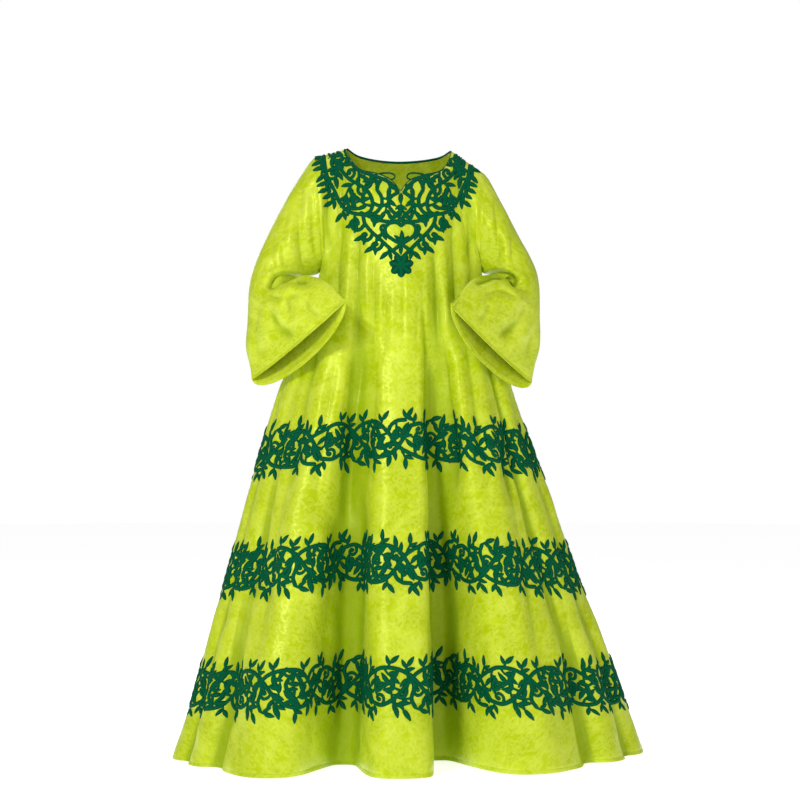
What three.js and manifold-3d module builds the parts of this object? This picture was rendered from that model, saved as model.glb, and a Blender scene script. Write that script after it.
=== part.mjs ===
// A floor-length kaftan in its worn, hollow form: a flared body in a front and a back,
// two wide sleeves bent at the elbow, a bound round neck with a short slit, a cutwork yoke
// on the chest and three cutwork bands round the skirt.
// Millimetres, +Z up. The front faces -Y, and left and right are as seen from the front.
// The origin is between the shoulders, level with the neck points, where the garment is held.

import * as THREE from "three";
import { mergeVertices } from "three/addons/utils/BufferGeometryUtils.js";
import Module from "manifold-3d";

const wasm = await Module();
wasm.setup();

// Driving sizes
const LENGTH = 1420; // from the neck points to the hem
const HEM = -LENGTH;
const UNDERARM = -290;
const CLOTH = 2; // thickness of a cloth wall
const GAP = 0.3; // between two pieces at a seam, and under the cutwork
const CUTWORK = 2; // thickness of the cutwork
const EDGING = { width: 7, rise: 0.5, thickness: 2.6 };
const BAND = { depth: 105, centres: [-1227, -958, -686] };
const SIDE_SINK = 30; // the bands lie this much lower at the side seams
const FOLDS_START = -330; // the skirt's folds grow from here to the hem
const FOLDS_GROWTH = 1.1;
const COLUMNS_SETTLE = -560; // below this height the mesh follows the folds of the hem
const CORNER_SHARE = 26; // extra length given to a full turn of one radian, so that folds stay crisp

// The body's ring at each height: half widths, half depths, how far the sides are turned,
// and how much the folds are drawn to the middle.
const RINGS = [
  { z: -290, left: 190, right: 181, front: 142, back: 124, turn: 0, gather: 0.6 },
  { z: -400, left: 225, right: 208, front: 155, back: 134, turn: 5, gather: 0.5 },
  { z: -480, left: 255, right: 232, front: 165, back: 140, turn: 8, gather: 0.43 },
  { z: -593, left: 298, right: 265, front: 190, back: 155, turn: 13, gather: 0.35 },
  { z: -828, left: 366, right: 350, front: 243, back: 188, turn: 22, gather: 0.22 },
  { z: -1039, left: 422, right: 425, front: 288, back: 218, turn: 31, gather: 0.14 },
  { z: -1156, left: 456, right: 473, front: 314, back: 235, turn: 36, gather: 0.09 },
  { z: -1313, left: 498, right: 529, front: 345, back: 257, turn: 43, gather: 0.03 },
  { z: -1420, left: 535, right: 568, front: 362, back: 270, turn: 47, gather: 0 },
];
const RING_NAMES = ["left", "right", "front", "back", "turn", "gather"];

// The folds at the hem: place across the piece from -1 at the left seam to 1 at the right,
// half width at half depth in the same measure, depth inwards in millimetres, and how steep
// the left and the right flank are.
const FRONT_FOLDS = [
  { at: -0.37, half: 0.12, depth: -66, left: 2.5, right: 2.5 },
  { at: -0.183, half: 0.0705, depth: 190, left: 5, right: 5 },
  { at: -0.02, half: 0.1, depth: -36, left: 3, right: 3 },
  { at: 0.154, half: 0.063, depth: 235, left: 9, right: 4 },
  { at: 0.33, half: 0.12, depth: -52, left: 3, right: 2.5 },
  { at: -0.585, half: 0.05, depth: 34, left: 3, right: 3 },
  { at: 0.56, half: 0.045, depth: 40, left: 3, right: 3 },
  { at: -0.8, half: 0.045, depth: 24, left: 3, right: 3 },
  { at: 0.79, half: 0.05, depth: 26, left: 3, right: 3 },
];
const BACK_FOLDS = [
  { at: -0.62, half: 0.07, depth: 82, left: 4, right: 4 },
  { at: -0.4, half: 0.1, depth: -34, left: 3, right: 3 },
  { at: -0.2, half: 0.075, depth: 118, left: 5, right: 4 },
  { at: 0.02, half: 0.1, depth: -40, left: 3, right: 3 },
  { at: 0.23, half: 0.07, depth: 104, left: 4, right: 5 },
  { at: 0.43, half: 0.1, depth: -30, left: 3, right: 3 },
  { at: 0.65, half: 0.07, depth: 90, left: 4, right: 4 },
];

// The neck seam line, from the left neck point over the slit to the right neck point,
// and the back neck from right to left.
const NECK_FRONT = [
  { x: -134, y: 18, z: -2 },
  { x: -124, y: -12, z: -28 },
  { x: -100, y: -48, z: -58 },
  { x: -62, y: -74, z: -72 },
  { x: -33, y: -87, z: -85 },
  { x: -17, y: -94, z: -100 },
  { x: -6, y: -98, z: -114 },
  { x: 5, y: -94, z: -100 },
  { x: 21, y: -87, z: -86 },
  { x: 50, y: -74, z: -75 },
  { x: 88, y: -48, z: -62 },
  { x: 107, y: -12, z: -34 },
  { x: 115, y: 18, z: -8 },
];
const NECK_BACK = [
  { x: 115, y: 18, z: -8 },
  { x: 84, y: 52, z: -22 },
  { x: -9, y: 74, z: -30 },
  { x: -102, y: 52, z: -19 },
  { x: -134, y: 18, z: -2 },
];
const SLIT = 6; // the row of NECK_FRONT at the foot of the slit

// Each sleeve from the armhole to the cuff: the outer and the inner line of the tube,
// and how far its front and its back stand out between them. Row 4 is just past the elbow.
const SLEEVE_LEFT = [
  { outer: [-212, 5, -25], inner: [-190, 0, -290], front: [8, -68, 0], back: [0, 70, 0] },
  { outer: [-262, 10, -105], inner: [-215, -10, -300], front: [-5, -74, 0], back: [-5, 66, 0] },
  { outer: [-309, 15, -198], inner: [-245, -35, -312], front: [-12, -76, -5], back: [-10, 62, -8] },
  { outer: [-347, 15, -297], inner: [-268, -60, -325], front: [-20, -62, -10], back: [-10, 62, -25] },
  { outer: [-361, 5, -390], inner: [-240, -110, -312], front: [-22, -48, -22], back: [0, 58, -42] },
  { outer: [-361, -20, -470], inner: [-185, -175, -325], front: [-12, -30, -16], back: [12, 40, -50] },
  { outer: [-352, -50, -545], inner: [-127, -250, -372], front: [2, -12, -8], back: [16, 12, -54] },
];
const SLEEVE_RIGHT = [
  { outer: [196, 5, -66], inner: [181, 0, -290], front: [-8, -66, 0], back: [0, 68, 0] },
  { outer: [232, 10, -137], inner: [204, -10, -300], front: [4, -72, 0], back: [5, 64, 0] },
  { outer: [268, 15, -210], inner: [222, -35, -308], front: [10, -74, -5], back: [10, 60, -8] },
  { outer: [306, 15, -290], inner: [236, -60, -314], front: [18, -60, -10], back: [10, 60, -25] },
  { outer: [318, 5, -375], inner: [214, -110, -308], front: [20, -46, -22], back: [0, 56, -40] },
  { outer: [314, -20, -462], inner: [160, -175, -325], front: [12, -30, -16], back: [-12, 40, -48] },
  { outer: [300, -50, -552], inner: [107, -250, -383], front: [-2, -12, -8], back: [-14, 12, -52] },
];
const SLEEVE_CELLS = 12; // along a sleeve
const ARMHOLE_CELLS = 7; // from the underarm to the shoulder tip, on the front and on the back
const SHOULDER_CELLS = 5; // from the shoulder tip to the neck point
// How soon the outward curve of the armholes fades towards the middle, at the shoulder
// and how much sooner at the underarm
const ARMHOLE_FADE = { top: 2.2, underarm: 9 };

// The yoke's half width at each depth below the neck points, from its own centre line
const YOKE_EDGE = [
  { down: -30, out: 205 },
  { down: 28, out: 199 },
  { down: 70, out: 190 },
  { down: 112, out: 171 },
  { down: 150, out: 150 },
  { down: 183, out: 118 },
  { down: 206, out: 88 },
  { down: 238, out: 64 },
  { down: 264, out: 34 },
  { down: 292, out: 24 },
  { down: 322, out: 0 },
];
const YOKE = { centre: -4, rightShare: 0.9, leaves: 13, leafRise: 7 };
const FRONT_REACH = { behind: 70, deep: 320 }; // a cut through the front starts behind the shoulder line
// Leaf-shaped gaps of the yoke on one side: place, length, width and lean from upright in degrees
const YOKE_GAPS = [
  { out: 168, down: 62, long: 40, wide: 16, lean: 12 },
  { out: 134, down: 66, long: 42, wide: 17, lean: 6 },
  { out: 154, down: 108, long: 38, wide: 17, lean: -32 },
  { out: 120, down: 112, long: 36, wide: 17, lean: 38 },
  { out: 88, down: 96, long: 34, wide: 17, lean: 62 },
  { out: 128, down: 150, long: 34, wide: 16, lean: 48 },
  { out: 90, down: 134, long: 38, wide: 19, lean: -30 },
  { out: 55, down: 104, long: 32, wide: 14, lean: 76 },
  { out: 56, down: 140, long: 36, wide: 19, lean: 28 },
  { out: 84, down: 178, long: 32, wide: 17, lean: 24 },
  { out: 50, down: 184, long: 36, wide: 18, lean: -22 },
  { out: 19, down: 152, long: 36, wide: 15, lean: 14 },
  { out: 44, down: 226, long: 32, wide: 16, lean: 22 },
  { out: 17, down: 200, long: 36, wide: 15, lean: -14 },
  { out: 15, down: 246, long: 30, wide: 13, lean: 16 },
];

// A gap of the bands, as shares of its cell of the mesh
const BAND_GAP = { start: 0.15, end: 0.85, side: 0.42 };
const BAND_SCALLOP = 0.22; // every second point of a band's edge is drawn in by this share of a cell

const CLOTH_FINISH = new THREE.MeshStandardMaterial({ color: 0xc3d732, roughness: 0.42, metalness: 0 });
const CUTWORK_FINISH = new THREE.MeshStandardMaterial({ color: 0x005f3c, roughness: 0.68, metalness: 0 });

// The ring's sizes at a height, on a smooth curve through the table
const ringCurve = new THREE.CubicInterpolant(
  RINGS.map((ring) => -ring.z),
  RINGS.flatMap((ring) => RING_NAMES.map((name) => ring[name])),
  RING_NAMES.length,
);
function ringAt(z) {
  const values = ringCurve.evaluate(-z);
  return Object.fromEntries(RING_NAMES.map((name, i) => [name, values[i]]));
}

// The angle round the body of a place across a piece
function angleAt(place, gather) {
  return ((Math.PI / 2) * place * (1 + gather)) / (1 + gather * Math.abs(place));
}

// The body's ring without folds, in plan
function plainRing(side, place, z) {
  const ring = ringAt(z);
  const angle = angleAt(place, ring.gather);
  const halfWidth = place < 0 ? ring.left : ring.right;
  return new THREE.Vector2(
    halfWidth * Math.sin(angle),
    side.face * ring[side.name] * Math.cos(angle) + ring.turn * Math.sin(angle),
  );
}

function foldDepth(side, place, z) {
  const share = THREE.MathUtils.clamp((FOLDS_START - z) / (FOLDS_START - HEM), 0, 1);
  const seam = 1 - THREE.MathUtils.smoothstep(Math.abs(place), 0.88, 1);
  const depths = side.folds.map((fold) => {
    const steep = place < fold.at ? fold.left : fold.right;
    return fold.depth / (1 + (Math.abs(place - fold.at) / fold.half) ** steep);
  });
  return seam * share ** FOLDS_GROWTH * depths.reduce((sum, depth) => sum + depth, 0);
}

// A point of the skirt or bodice below the underarm
function bodyPoint(side, place, z) {
  const step = 0.002;
  const here = plainRing(side, place, z);
  const along = plainRing(side, Math.min(1, place + step), z)
    .sub(plainRing(side, Math.max(-1, place - step), z))
    .normalize();
  const inwards = foldDepth(side, place, z) * side.face;
  return new THREE.Vector3(here.x + along.y * inwards, here.y - along.x * inwards, z);
}

// Places across a piece that divide its ring at a height into steps of even length,
// with a turn counted as extra length
function evenPlaces(side, z) {
  const samples = 800;
  const points = Array.from({ length: samples + 1 }, (_, i) => bodyPoint(side, (2 * i) / samples - 1, z));
  const steps = points.slice(1).map((point, i) => point.clone().sub(points[i]));
  const lengths = [0];
  steps.forEach((step, i) => {
    const turn = i ? step.angleTo(steps[i - 1]) : 0;
    lengths.push(lengths[i] + step.length() + CORNER_SHARE * turn);
  });
  const total = lengths[samples];
  return Array.from({ length: side.columns + 1 }, (_, column) => {
    const goal = (total * column) / side.columns;
    const next = Math.max(1, lengths.findIndex((length) => length >= goal - 1e-6));
    const share = (goal - lengths[next - 1]) / (lengths[next] - lengths[next - 1]);
    return (2 * (next - 1 + share)) / samples - 1;
  });
}

// Heights of the body's rows from the hem up to the underarm. Each band has a row at its
// lower edge, its middle and its upper edge.
function bodyLevels() {
  const edges = BAND.centres.flatMap((centre) => [centre - BAND.depth / 2, centre + BAND.depth / 2]);
  const stops = [HEM, ...edges, UNDERARM];
  const cells = [3, 2, 2, 2, 2, 2, 6];
  const levels = [HEM];
  cells.forEach((count, i) => {
    for (let k = 1; k <= count; k++) levels.push(THREE.MathUtils.lerp(stops[i], stops[i + 1], k / count));
  });
  return levels;
}

// How far a row lies lower at the side seams: nothing at the hem and at the underarm
function sinkAt(z) {
  const lowest = BAND.centres[0] - BAND.depth / 2;
  const highest = BAND.centres[2] + BAND.depth / 2;
  const fromHem = THREE.MathUtils.clamp((z - HEM) / (lowest - HEM), 0, 1);
  const fromUnderarm = THREE.MathUtils.clamp((UNDERARM - z) / (UNDERARM - highest), 0, 1);
  return SIDE_SINK * Math.min(fromHem, fromUnderarm);
}

const vector = (values) => new THREE.Vector3(...values);
const vectorOf = (row) => new THREE.Vector3(row.x, row.y, row.z);

// The four lines of a sleeve as smooth curves
function sleeveLines(rows) {
  const line = (name) => new THREE.CatmullRomCurve3(rows.map((row) => vector(row[name])));
  return { outer: line("outer"), inner: line("inner"), front: line("front"), back: line("back") };
}

// A point of a sleeve: share along it from the armhole to the cuff, the half that it lies on,
// and the angle from the outer line to the inner line
function sleevePoint(lines, share, half, angle) {
  const outer = lines.outer.getPoint(share);
  const middle = lines.inner.getPoint(share).lerp(outer, 0.5);
  return middle
    .clone()
    .addScaledVector(outer.sub(middle), Math.cos(angle))
    .addScaledVector(lines[half].getPoint(share), Math.sin(angle));
}

const LEFT_LINES = sleeveLines(SLEEVE_LEFT);
const RIGHT_LINES = sleeveLines(SLEEVE_RIGHT);

// The front runs from the left seam to the right, and the back from the right seam to the left,
// so that both have their columns from left to right when seen from outside.
const FRONT = {
  name: "front",
  face: -1,
  columns: 36,
  folds: FRONT_FOLDS,
  neck: NECK_FRONT,
  start: { lines: LEFT_LINES, tip: vector(SLEEVE_LEFT[0].outer) },
  end: { lines: RIGHT_LINES, tip: vector(SLEEVE_RIGHT[0].outer) },
};
const BACK = {
  name: "back",
  face: 1,
  columns: 20,
  folds: BACK_FOLDS,
  neck: NECK_BACK,
  start: FRONT.end,
  end: FRONT.start,
};

// The upper edge of the front or back: shoulder, neck, shoulder
function upperEdge(side) {
  const points = side.neck.map(vectorOf);
  const curve = new THREE.CatmullRomCurve3(points);
  const neckCells = side.columns - 2 * SHOULDER_CELLS;
  const edge = [];
  for (let k = 0; k < SHOULDER_CELLS; k++) edge.push(side.start.tip.clone().lerp(points[0], k / SHOULDER_CELLS));
  for (let k = 0; k <= neckCells; k++) edge.push(neckPoint(curve, side, k / neckCells));
  for (let k = 1; k <= SHOULDER_CELLS; k++)
    edge.push(points[points.length - 1].clone().lerp(side.end.tip, k / SHOULDER_CELLS));
  return edge;
}

// A point of the neck, evenly spaced by length on each side of the slit
function neckPoint(curve, side, share) {
  if (side.name === "back") return curve.getPointAt(share);
  const half = curve.getLengths(SLIT * 100 * 2)[SLIT * 100] / curve.getLength();
  const along = share < 0.5 ? 2 * share * half : half + (2 * share - 1) * (1 - half);
  return share === 0.5 ? curve.getPoint(SLIT / (NECK_FRONT.length - 1)) : curve.getPointAt(along);
}

// The grid of a body piece, row by row from the hem
function bodyGrid(side) {
  const high = evenPlaces(side, UNDERARM);
  const low = evenPlaces(side, HEM);
  const rows = bodyLevels().map((level) => {
    const settled = THREE.MathUtils.smoothstep(UNDERARM - level, 0, UNDERARM - COLUMNS_SETTLE);
    const row = high.map((place, column) => {
      const here = THREE.MathUtils.lerp(place, low[column], settled);
      const sink = sinkAt(level) * Math.sin(angleAt(here, ringAt(level).gather)) ** 2;
      return bodyPoint(side, here, level - sink);
    });
    return side.name === "back" ? row.reverse() : row;
  });
  return rows.concat(chestRows(side, rows[rows.length - 1]));
}

// The rows above the underarm, spanned between the underarm ring and the upper edge,
// and drawn out to the two armholes
function chestRows(side, ring) {
  const top = upperEdge(side);
  const last = side.columns;
  return Array.from({ length: ARMHOLE_CELLS }, (_, k) => {
    const up = (k + 1) / ARMHOLE_CELLS;
    const angle = Math.PI * (1 - up);
    const start = sleevePoint(side.start.lines, 0, side.name, angle);
    const end = sleevePoint(side.end.lines, 0, side.name, angle);
    const fade = ARMHOLE_FADE.top + ARMHOLE_FADE.underarm * (1 - up) ** 2;
    const startRise = start.clone().sub(ring[0].clone().lerp(top[0], up));
    const endRise = end.clone().sub(ring[last].clone().lerp(top[last], up));
    return ring.map((below, column) => {
      if (column === 0) return start;
      if (column === last) return end;
      if (up === 1) return top[column];
      const across = column / last;
      return below
        .clone()
        .lerp(top[column], up)
        .addScaledVector(startRise, (1 - across) ** fade)
        .addScaledVector(endRise, across ** fade);
    });
  });
}

// The grid of a sleeve, row by row from the cuff, closed round the arm
function sleeveGrid(lines, firstHalf, secondHalf) {
  return Array.from({ length: SLEEVE_CELLS + 1 }, (_, row) => {
    const share = 1 - row / SLEEVE_CELLS;
    return Array.from({ length: 2 * ARMHOLE_CELLS }, (_, k) => {
      const angle = (Math.PI * k) / ARMHOLE_CELLS;
      return k < ARMHOLE_CELLS
        ? sleevePoint(lines, share, firstHalf, angle)
        : sleevePoint(lines, share, secondHalf, 2 * Math.PI - angle);
    });
  });
}

// The corners of a cell of a grid: its diagonal joins the first and the third,
// and it alternates from cell to cell
function cellCorners(row, column, width) {
  const low = row * width;
  const high = low + width;
  const next = (column + 1) % width;
  return (row + column) % 2 === 0
    ? [low + column, low + next, high + next, high + column]
    : [low + next, high + next, high + column, low + column];
}

// A piece of cloth as a list of points and triangles
function clothPiece(name, rows, closed) {
  const width = rows[0].length;
  const faces = [];
  for (let row = 0; row < rows.length - 1; row++)
    for (let column = 0; column < width - (closed ? 0 : 1); column++) {
      const [a, b, c, d] = cellCorners(row, column, width);
      faces.push([a, b, c], [a, c, d]);
    }
  const piece = { name, width, height: rows.length, closed, points: rows.flat(), faces };
  piece.inset = seamInsets(piece);
  return piece;
}

// The step that draws a seam's point into its own piece, square to the seam
function insetStep(point, inner, before, after) {
  const seam = after.clone().sub(before).normalize();
  const step = inner.clone().sub(point);
  return step.addScaledVector(seam, -step.dot(seam)).setLength(GAP / 2);
}

function seamInsets({ points, width, height, closed }) {
  const insets = points.map(() => new THREE.Vector3());
  const at = (row, column) => points[row * width + column];
  const top = height - 1;
  for (let column = 0; column < width; column++) {
    const before = at(top, closed ? (column + width - 1) % width : Math.max(0, column - 1));
    const after = at(top, closed ? (column + 1) % width : Math.min(width - 1, column + 1));
    insets[top * width + column].add(insetStep(at(top, column), at(top - 1, column), before, after));
  }
  if (closed) return insets;
  for (let row = 0; row < height; row++)
    for (const [column, inner] of [[0, 1], [width - 1, width - 2]]) {
      const before = at(Math.max(0, row - 1), column);
      const after = at(Math.min(top, row + 1), column);
      insets[row * width + column].add(insetStep(at(row, column), at(row, inner), before, after));
    }
  return insets;
}

// The direction out of the cloth at each point, shared by the pieces that meet there.
// It is lengthened at a crease so that the walls keep their thickness.
function sharedNormals(pieces) {
  const key = (point) => point.toArray().map((value) => Math.round(value * 1000)).join(" ");
  const normals = new Map();
  const corners = [];
  for (const piece of pieces)
    for (const face of piece.faces) {
      const [a, b, c] = face.map((index) => piece.points[index]);
      const facing = b.clone().sub(a).cross(c.clone().sub(a)).normalize();
      [[a, b, c], [b, c, a], [c, a, b]].forEach(([tip, next, last]) => {
        const angle = next.clone().sub(tip).angleTo(last.clone().sub(tip));
        const found = normals.get(key(tip)) ?? { normal: new THREE.Vector3(), least: 1 };
        found.normal.addScaledVector(facing, angle);
        normals.set(key(tip), found);
        corners.push({ found, facing });
      });
    }
  for (const { normal } of normals.values()) normal.normalize();
  for (const { found, facing } of corners) found.least = Math.min(found.least, found.normal.dot(facing));
  return (point) => {
    const { normal, least } = normals.get(key(point));
    return normal.clone().divideScalar(Math.max(0.62, least));
  };
}

// A layer of a piece: its points drawn in at the seams and moved out by a distance
function layer(piece, distance) {
  return piece.points.map((point, i) =>
    point.clone().add(piece.inset[i]).addScaledVector(normalAt(point), distance),
  );
}

// The order of two ends of an edge: the lower first
const rank = (point) => point.z + point.x / 100;

// A closed wall between two layers, with a rim along every free edge
function wallGeometry(outer, inner, faces) {
  const used = [...new Set(faces.flat())];
  const place = new Map(used.map((index, i) => [index, i]));
  const positions = [...used.map((i) => outer[i]), ...used.map((i) => inner[i])].flatMap((p) => p.toArray());
  const count = used.length;
  const edges = new Set(faces.flatMap(([a, b, c]) => [`${a} ${b}`, `${b} ${c}`, `${c} ${a}`]));
  const index = [];
  for (const face of faces) {
    const [a, b, c] = face.map((i) => place.get(i));
    index.push(a, b, c, count + a, count + c, count + b);
    [[face[0], face[1]], [face[1], face[2]], [face[2], face[0]]].forEach(([from, to]) => {
      if (edges.has(`${to} ${from}`)) return;
      const [p, q] = [place.get(from), place.get(to)];
      // Two pieces divide the twisted rim that they share along the same diagonal
      if (rank(outer[from]) < rank(outer[to])) index.push(count + p, count + q, q, count + p, q, p);
      else index.push(count + p, count + q, p, count + q, q, p);
    });
  }
  const geometry = new THREE.BufferGeometry();
  geometry.setAttribute("position", new THREE.Float32BufferAttribute(positions, 3));
  geometry.setIndex(index);
  geometry.computeVertexNormals();
  return geometry;
}

// A band of cutwork: the panel's own cells over two rows, with pairs of leaf-shaped gaps
function bandGeometry(piece, firstRow) {
  const upper = layer(piece, GAP + CUTWORK);
  const lower = layer(piece, GAP);
  const { width } = piece;
  const middle = firstRow + 1;
  for (const points of [upper, lower])
    for (const row of [firstRow, firstRow + 2])
      for (let column = 0; column < width; column++)
        if ((row + column) % 2) points[row * width + column].lerp(points[middle * width + column], BAND_SCALLOP);
  const faces = [];
  const addPoint = (from, to, share) => {
    upper.push(upper[from].clone().lerp(upper[to], share));
    lower.push(lower[from].clone().lerp(lower[to], share));
    return upper.length - 1;
  };
  for (const row of [firstRow, middle])
    for (let column = 0; column < width - 1; column++) {
      const [a, b, c, d] = cellCorners(row, column, width);
      const inPair = column % 4 < 2;
      if (inPair !== (row === firstRow)) {
        faces.push([a, b, c], [a, c, d]);
        continue;
      }
      const start = addPoint(a, c, BAND_GAP.start);
      const end = addPoint(a, c, BAND_GAP.end);
      const centre = addPoint(a, c, 0.5);
      const right = addPoint(centre, b, BAND_GAP.side);
      const left = addPoint(centre, d, BAND_GAP.side);
      faces.push([a, b, right], [b, c, right], [c, end, right], [a, right, start]);
      faces.push([c, d, left], [d, a, left], [a, start, left], [c, left, end]);
    }
  return wallGeometry(upper, lower, faces);
}

// A closed geometry as a solid for cutting, and back
function solidOf(geometry) {
  const plain = geometry.clone();
  plain.deleteAttribute("normal");
  plain.deleteAttribute("uv");
  const merged = mergeVertices(plain, 1e-4);
  return new wasm.Manifold(
    new wasm.Mesh({
      numProp: 3,
      vertProperties: merged.attributes.position.array,
      triVerts: new Uint32Array(merged.index.array),
    }),
  );
}
function geometryOf(solid) {
  const mesh = solid.getMesh();
  const geometry = new THREE.BufferGeometry();
  geometry.setAttribute("position", new THREE.Float32BufferAttribute(mesh.vertProperties, 3));
  geometry.setIndex(Array.from(mesh.triVerts));
  geometry.computeVertexNormals();
  return geometry;
}

// Place across the front of a distance from the yoke's centre line, on side -1 or 1
const yokeX = (out, hand) => YOKE.centre + hand * out * (hand > 0 ? YOKE.rightShare : 1);

// One side of the yoke's outline, from the top down: leaf tips and notches in turn
function yokeSide(hand) {
  const path = new THREE.CatmullRomCurve3(YOKE_EDGE.map((row) => new THREE.Vector3(row.out, 0, -row.down)));
  const count = 2 * YOKE.leaves;
  return Array.from({ length: count + 1 }, (_, i) => {
    const point = path.getPointAt(i / count);
    const tangent = path.getTangentAt(i / count);
    const rise = i === 0 || i === count ? 0 : YOKE.leafRise * (i % 2 ? 1 : -1);
    return new THREE.Vector2(yokeX(point.x - tangent.z * rise, hand), point.z + tangent.x * rise);
  });
}

// A leaf-shaped gap with two pointed ends
function leafShape({ out, down, long, wide, lean }, hand) {
  const outline = [[0, 1], [-1, 0.35], [-1, -0.35], [0, -1], [1, -0.35], [1, 0.35]];
  const turn = THREE.MathUtils.degToRad(lean);
  return new THREE.Shape(
    outline.map(([across, up]) => {
      const x = (across * wide) / 2;
      const z = (up * long) / 2;
      const shift = x * Math.cos(turn) + z * Math.sin(turn);
      return new THREE.Vector2(yokeX(out + shift, hand), -down - x * Math.sin(turn) + z * Math.cos(turn));
    }),
  );
}

// A shape drawn from the front as a solid that runs through the whole front
function throughFront(shape) {
  const cutter = new THREE.ExtrudeGeometry(shape, { depth: FRONT_REACH.deep, bevelEnabled: false });
  cutter.rotateX(Math.PI / 2).translate(0, FRONT_REACH.behind, 0);
  return solidOf(cutter);
}

// The yoke: a layer over the upper front, cut to its outline and gaps
function yokeGeometry(piece) {
  const firstRow = bodyLevels().length - 2; // one row below the underarm
  const faces = piece.faces.filter((face) => face.every((index) => index >= firstRow * piece.width));
  const sheet = wallGeometry(layer(piece, GAP + CUTWORK), layer(piece, GAP), faces);
  const outline = new THREE.Shape([...yokeSide(-1), ...yokeSide(1).reverse().slice(1)]);
  let yoke = solidOf(sheet).intersect(throughFront(outline));
  for (const gap of YOKE_GAPS) for (const hand of [-1, 1]) yoke = yoke.subtract(throughFront(leafShape(gap, hand)));
  return geometryOf(yoke);
}

// The bound neck edge: a strip that goes on from the neck seam towards the opening
function edgingGeometry(front, back) {
  const seam = (piece) => {
    const top = (piece.height - 1) * piece.width;
    const cells = piece.width - 1 - 2 * SHOULDER_CELLS;
    return Array.from({ length: cells + 1 }, (_, k) => {
      const index = top + SHOULDER_CELLS + k;
      const point = piece.points[index];
      return { point, up: point.clone().sub(piece.points[index - piece.width]).normalize() };
    });
  };
  const [frontSeam, backSeam] = [seam(front), seam(back)];
  const last = frontSeam.length - 1;
  frontSeam[0].up.add(backSeam[backSeam.length - 1].up);
  frontSeam[last].up.add(backSeam[0].up);
  const loop = [...frontSeam, ...backSeam.slice(1, -1)];
  const rows = (height) =>
    [GAP, GAP + EDGING.width].map((reach) =>
      loop.map(({ point, up }) => {
        const out = normalAt(point).normalize();
        const inSurface = up.clone().addScaledVector(out, -up.dot(out)).normalize();
        return point.clone().addScaledVector(inSurface, reach).addScaledVector(out, height);
      }),
    );
  const strip = clothPiece("strip", rows(0), true);
  return wallGeometry(rows(EDGING.rise).flat(), rows(EDGING.rise - EDGING.thickness).flat(), strip.faces);
}

const front = clothPiece("front", bodyGrid(FRONT), false);
const back = clothPiece("back", bodyGrid(BACK), false);
const sleeveLeft = clothPiece("sleeve_left", sleeveGrid(LEFT_LINES, "front", "back"), true);
const sleeveRight = clothPiece("sleeve_right", sleeveGrid(RIGHT_LINES, "back", "front"), true);
const clothPieces = [front, back, sleeveLeft, sleeveRight];
const normalAt = sharedNormals(clothPieces);

const kaftan = new THREE.Group();
function addPiece(name, geometry, finish) {
  const mesh = new THREE.Mesh(geometry, finish);
  mesh.name = name;
  kaftan.add(mesh);
}

for (const piece of clothPieces)
  addPiece(piece.name, wallGeometry(layer(piece, 0), layer(piece, -CLOTH), piece.faces), CLOTH_FINISH);

const levels = bodyLevels();
["lower", "middle", "upper"].forEach((height, i) => {
  const firstRow = levels.findIndex((level) => Math.abs(level - BAND.centres[i]) < 1) - 1;
  for (const piece of [front, back])
    addPiece(`band_${height}_${piece.name}`, bandGeometry(piece, firstRow), CUTWORK_FINISH);
});
addPiece("yoke", yokeGeometry(front), CUTWORK_FINISH);
addPiece("neck_edging", edgingGeometry(front, back), CUTWORK_FINISH);

export default kaftan;
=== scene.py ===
"""A floor-length kaftan in its worn, hollow form.

The front faces -Y, and left and right are as seen from the front. Sizes are in metres. The
file follows the garment as it is sewn: the two body panels, the sleeves, the neck, then the
cutwork that is laid on, and the stitches.
"""

from math import cos, pi, radians, sin, tau

import bpy
import numpy as np
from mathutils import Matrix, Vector
from mathutils.bvhtree import BVHTree


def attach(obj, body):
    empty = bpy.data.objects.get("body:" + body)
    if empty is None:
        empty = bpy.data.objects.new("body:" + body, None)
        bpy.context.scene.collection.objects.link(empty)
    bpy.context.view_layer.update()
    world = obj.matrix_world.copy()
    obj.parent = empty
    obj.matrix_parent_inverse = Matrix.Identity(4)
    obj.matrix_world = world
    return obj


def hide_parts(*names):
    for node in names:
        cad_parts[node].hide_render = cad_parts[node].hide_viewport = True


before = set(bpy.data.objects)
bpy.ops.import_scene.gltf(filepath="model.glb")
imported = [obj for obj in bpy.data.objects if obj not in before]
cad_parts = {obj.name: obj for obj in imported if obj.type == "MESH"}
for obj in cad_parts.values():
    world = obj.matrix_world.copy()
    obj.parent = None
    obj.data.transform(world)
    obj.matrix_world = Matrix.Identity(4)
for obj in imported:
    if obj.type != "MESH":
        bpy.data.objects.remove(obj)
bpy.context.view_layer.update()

# The studio
# A pale floor under wide soft lights, and a level camera with a long lens, five metres away.
# The photograph is 800 pixels wide and high. Its horizon is at row 437, and the middle of the
# garment is at column 403.
PHOTO = {"size": 800, "column": 403, "horizon": 437, "focal_pixels": 2203}
CAMERA = {"distance": 5.170, "height": -0.680}
SENSOR = 0.036
FLOOR = -1.4222
LIGHTS = (
    {"name": "key", "place": (-2.1, -4.0, 1.7), "aim": (0, 0, -0.7), "size": 1.0, "power": 113},
    {"name": "fill", "place": (2.9, -3.6, 0.3), "aim": (0, 0, -0.8), "size": 1.8, "power": 27},
    {"name": "top", "place": (0.3, 0.6, 2.6), "aim": (0, 0, -0.7), "size": 1.8, "power": 22},
    {"name": "rear", "place": (-0.6, 4.2, 1.2), "aim": (0, 0, -0.7), "size": 2.6, "power": 50},
)


def turn_to(thing, aim):
    """Turns a camera or a light towards a point."""
    thing.rotation_euler = (Vector(aim) - thing.location).to_track_quat("-Z", "Y").to_euler()


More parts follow.
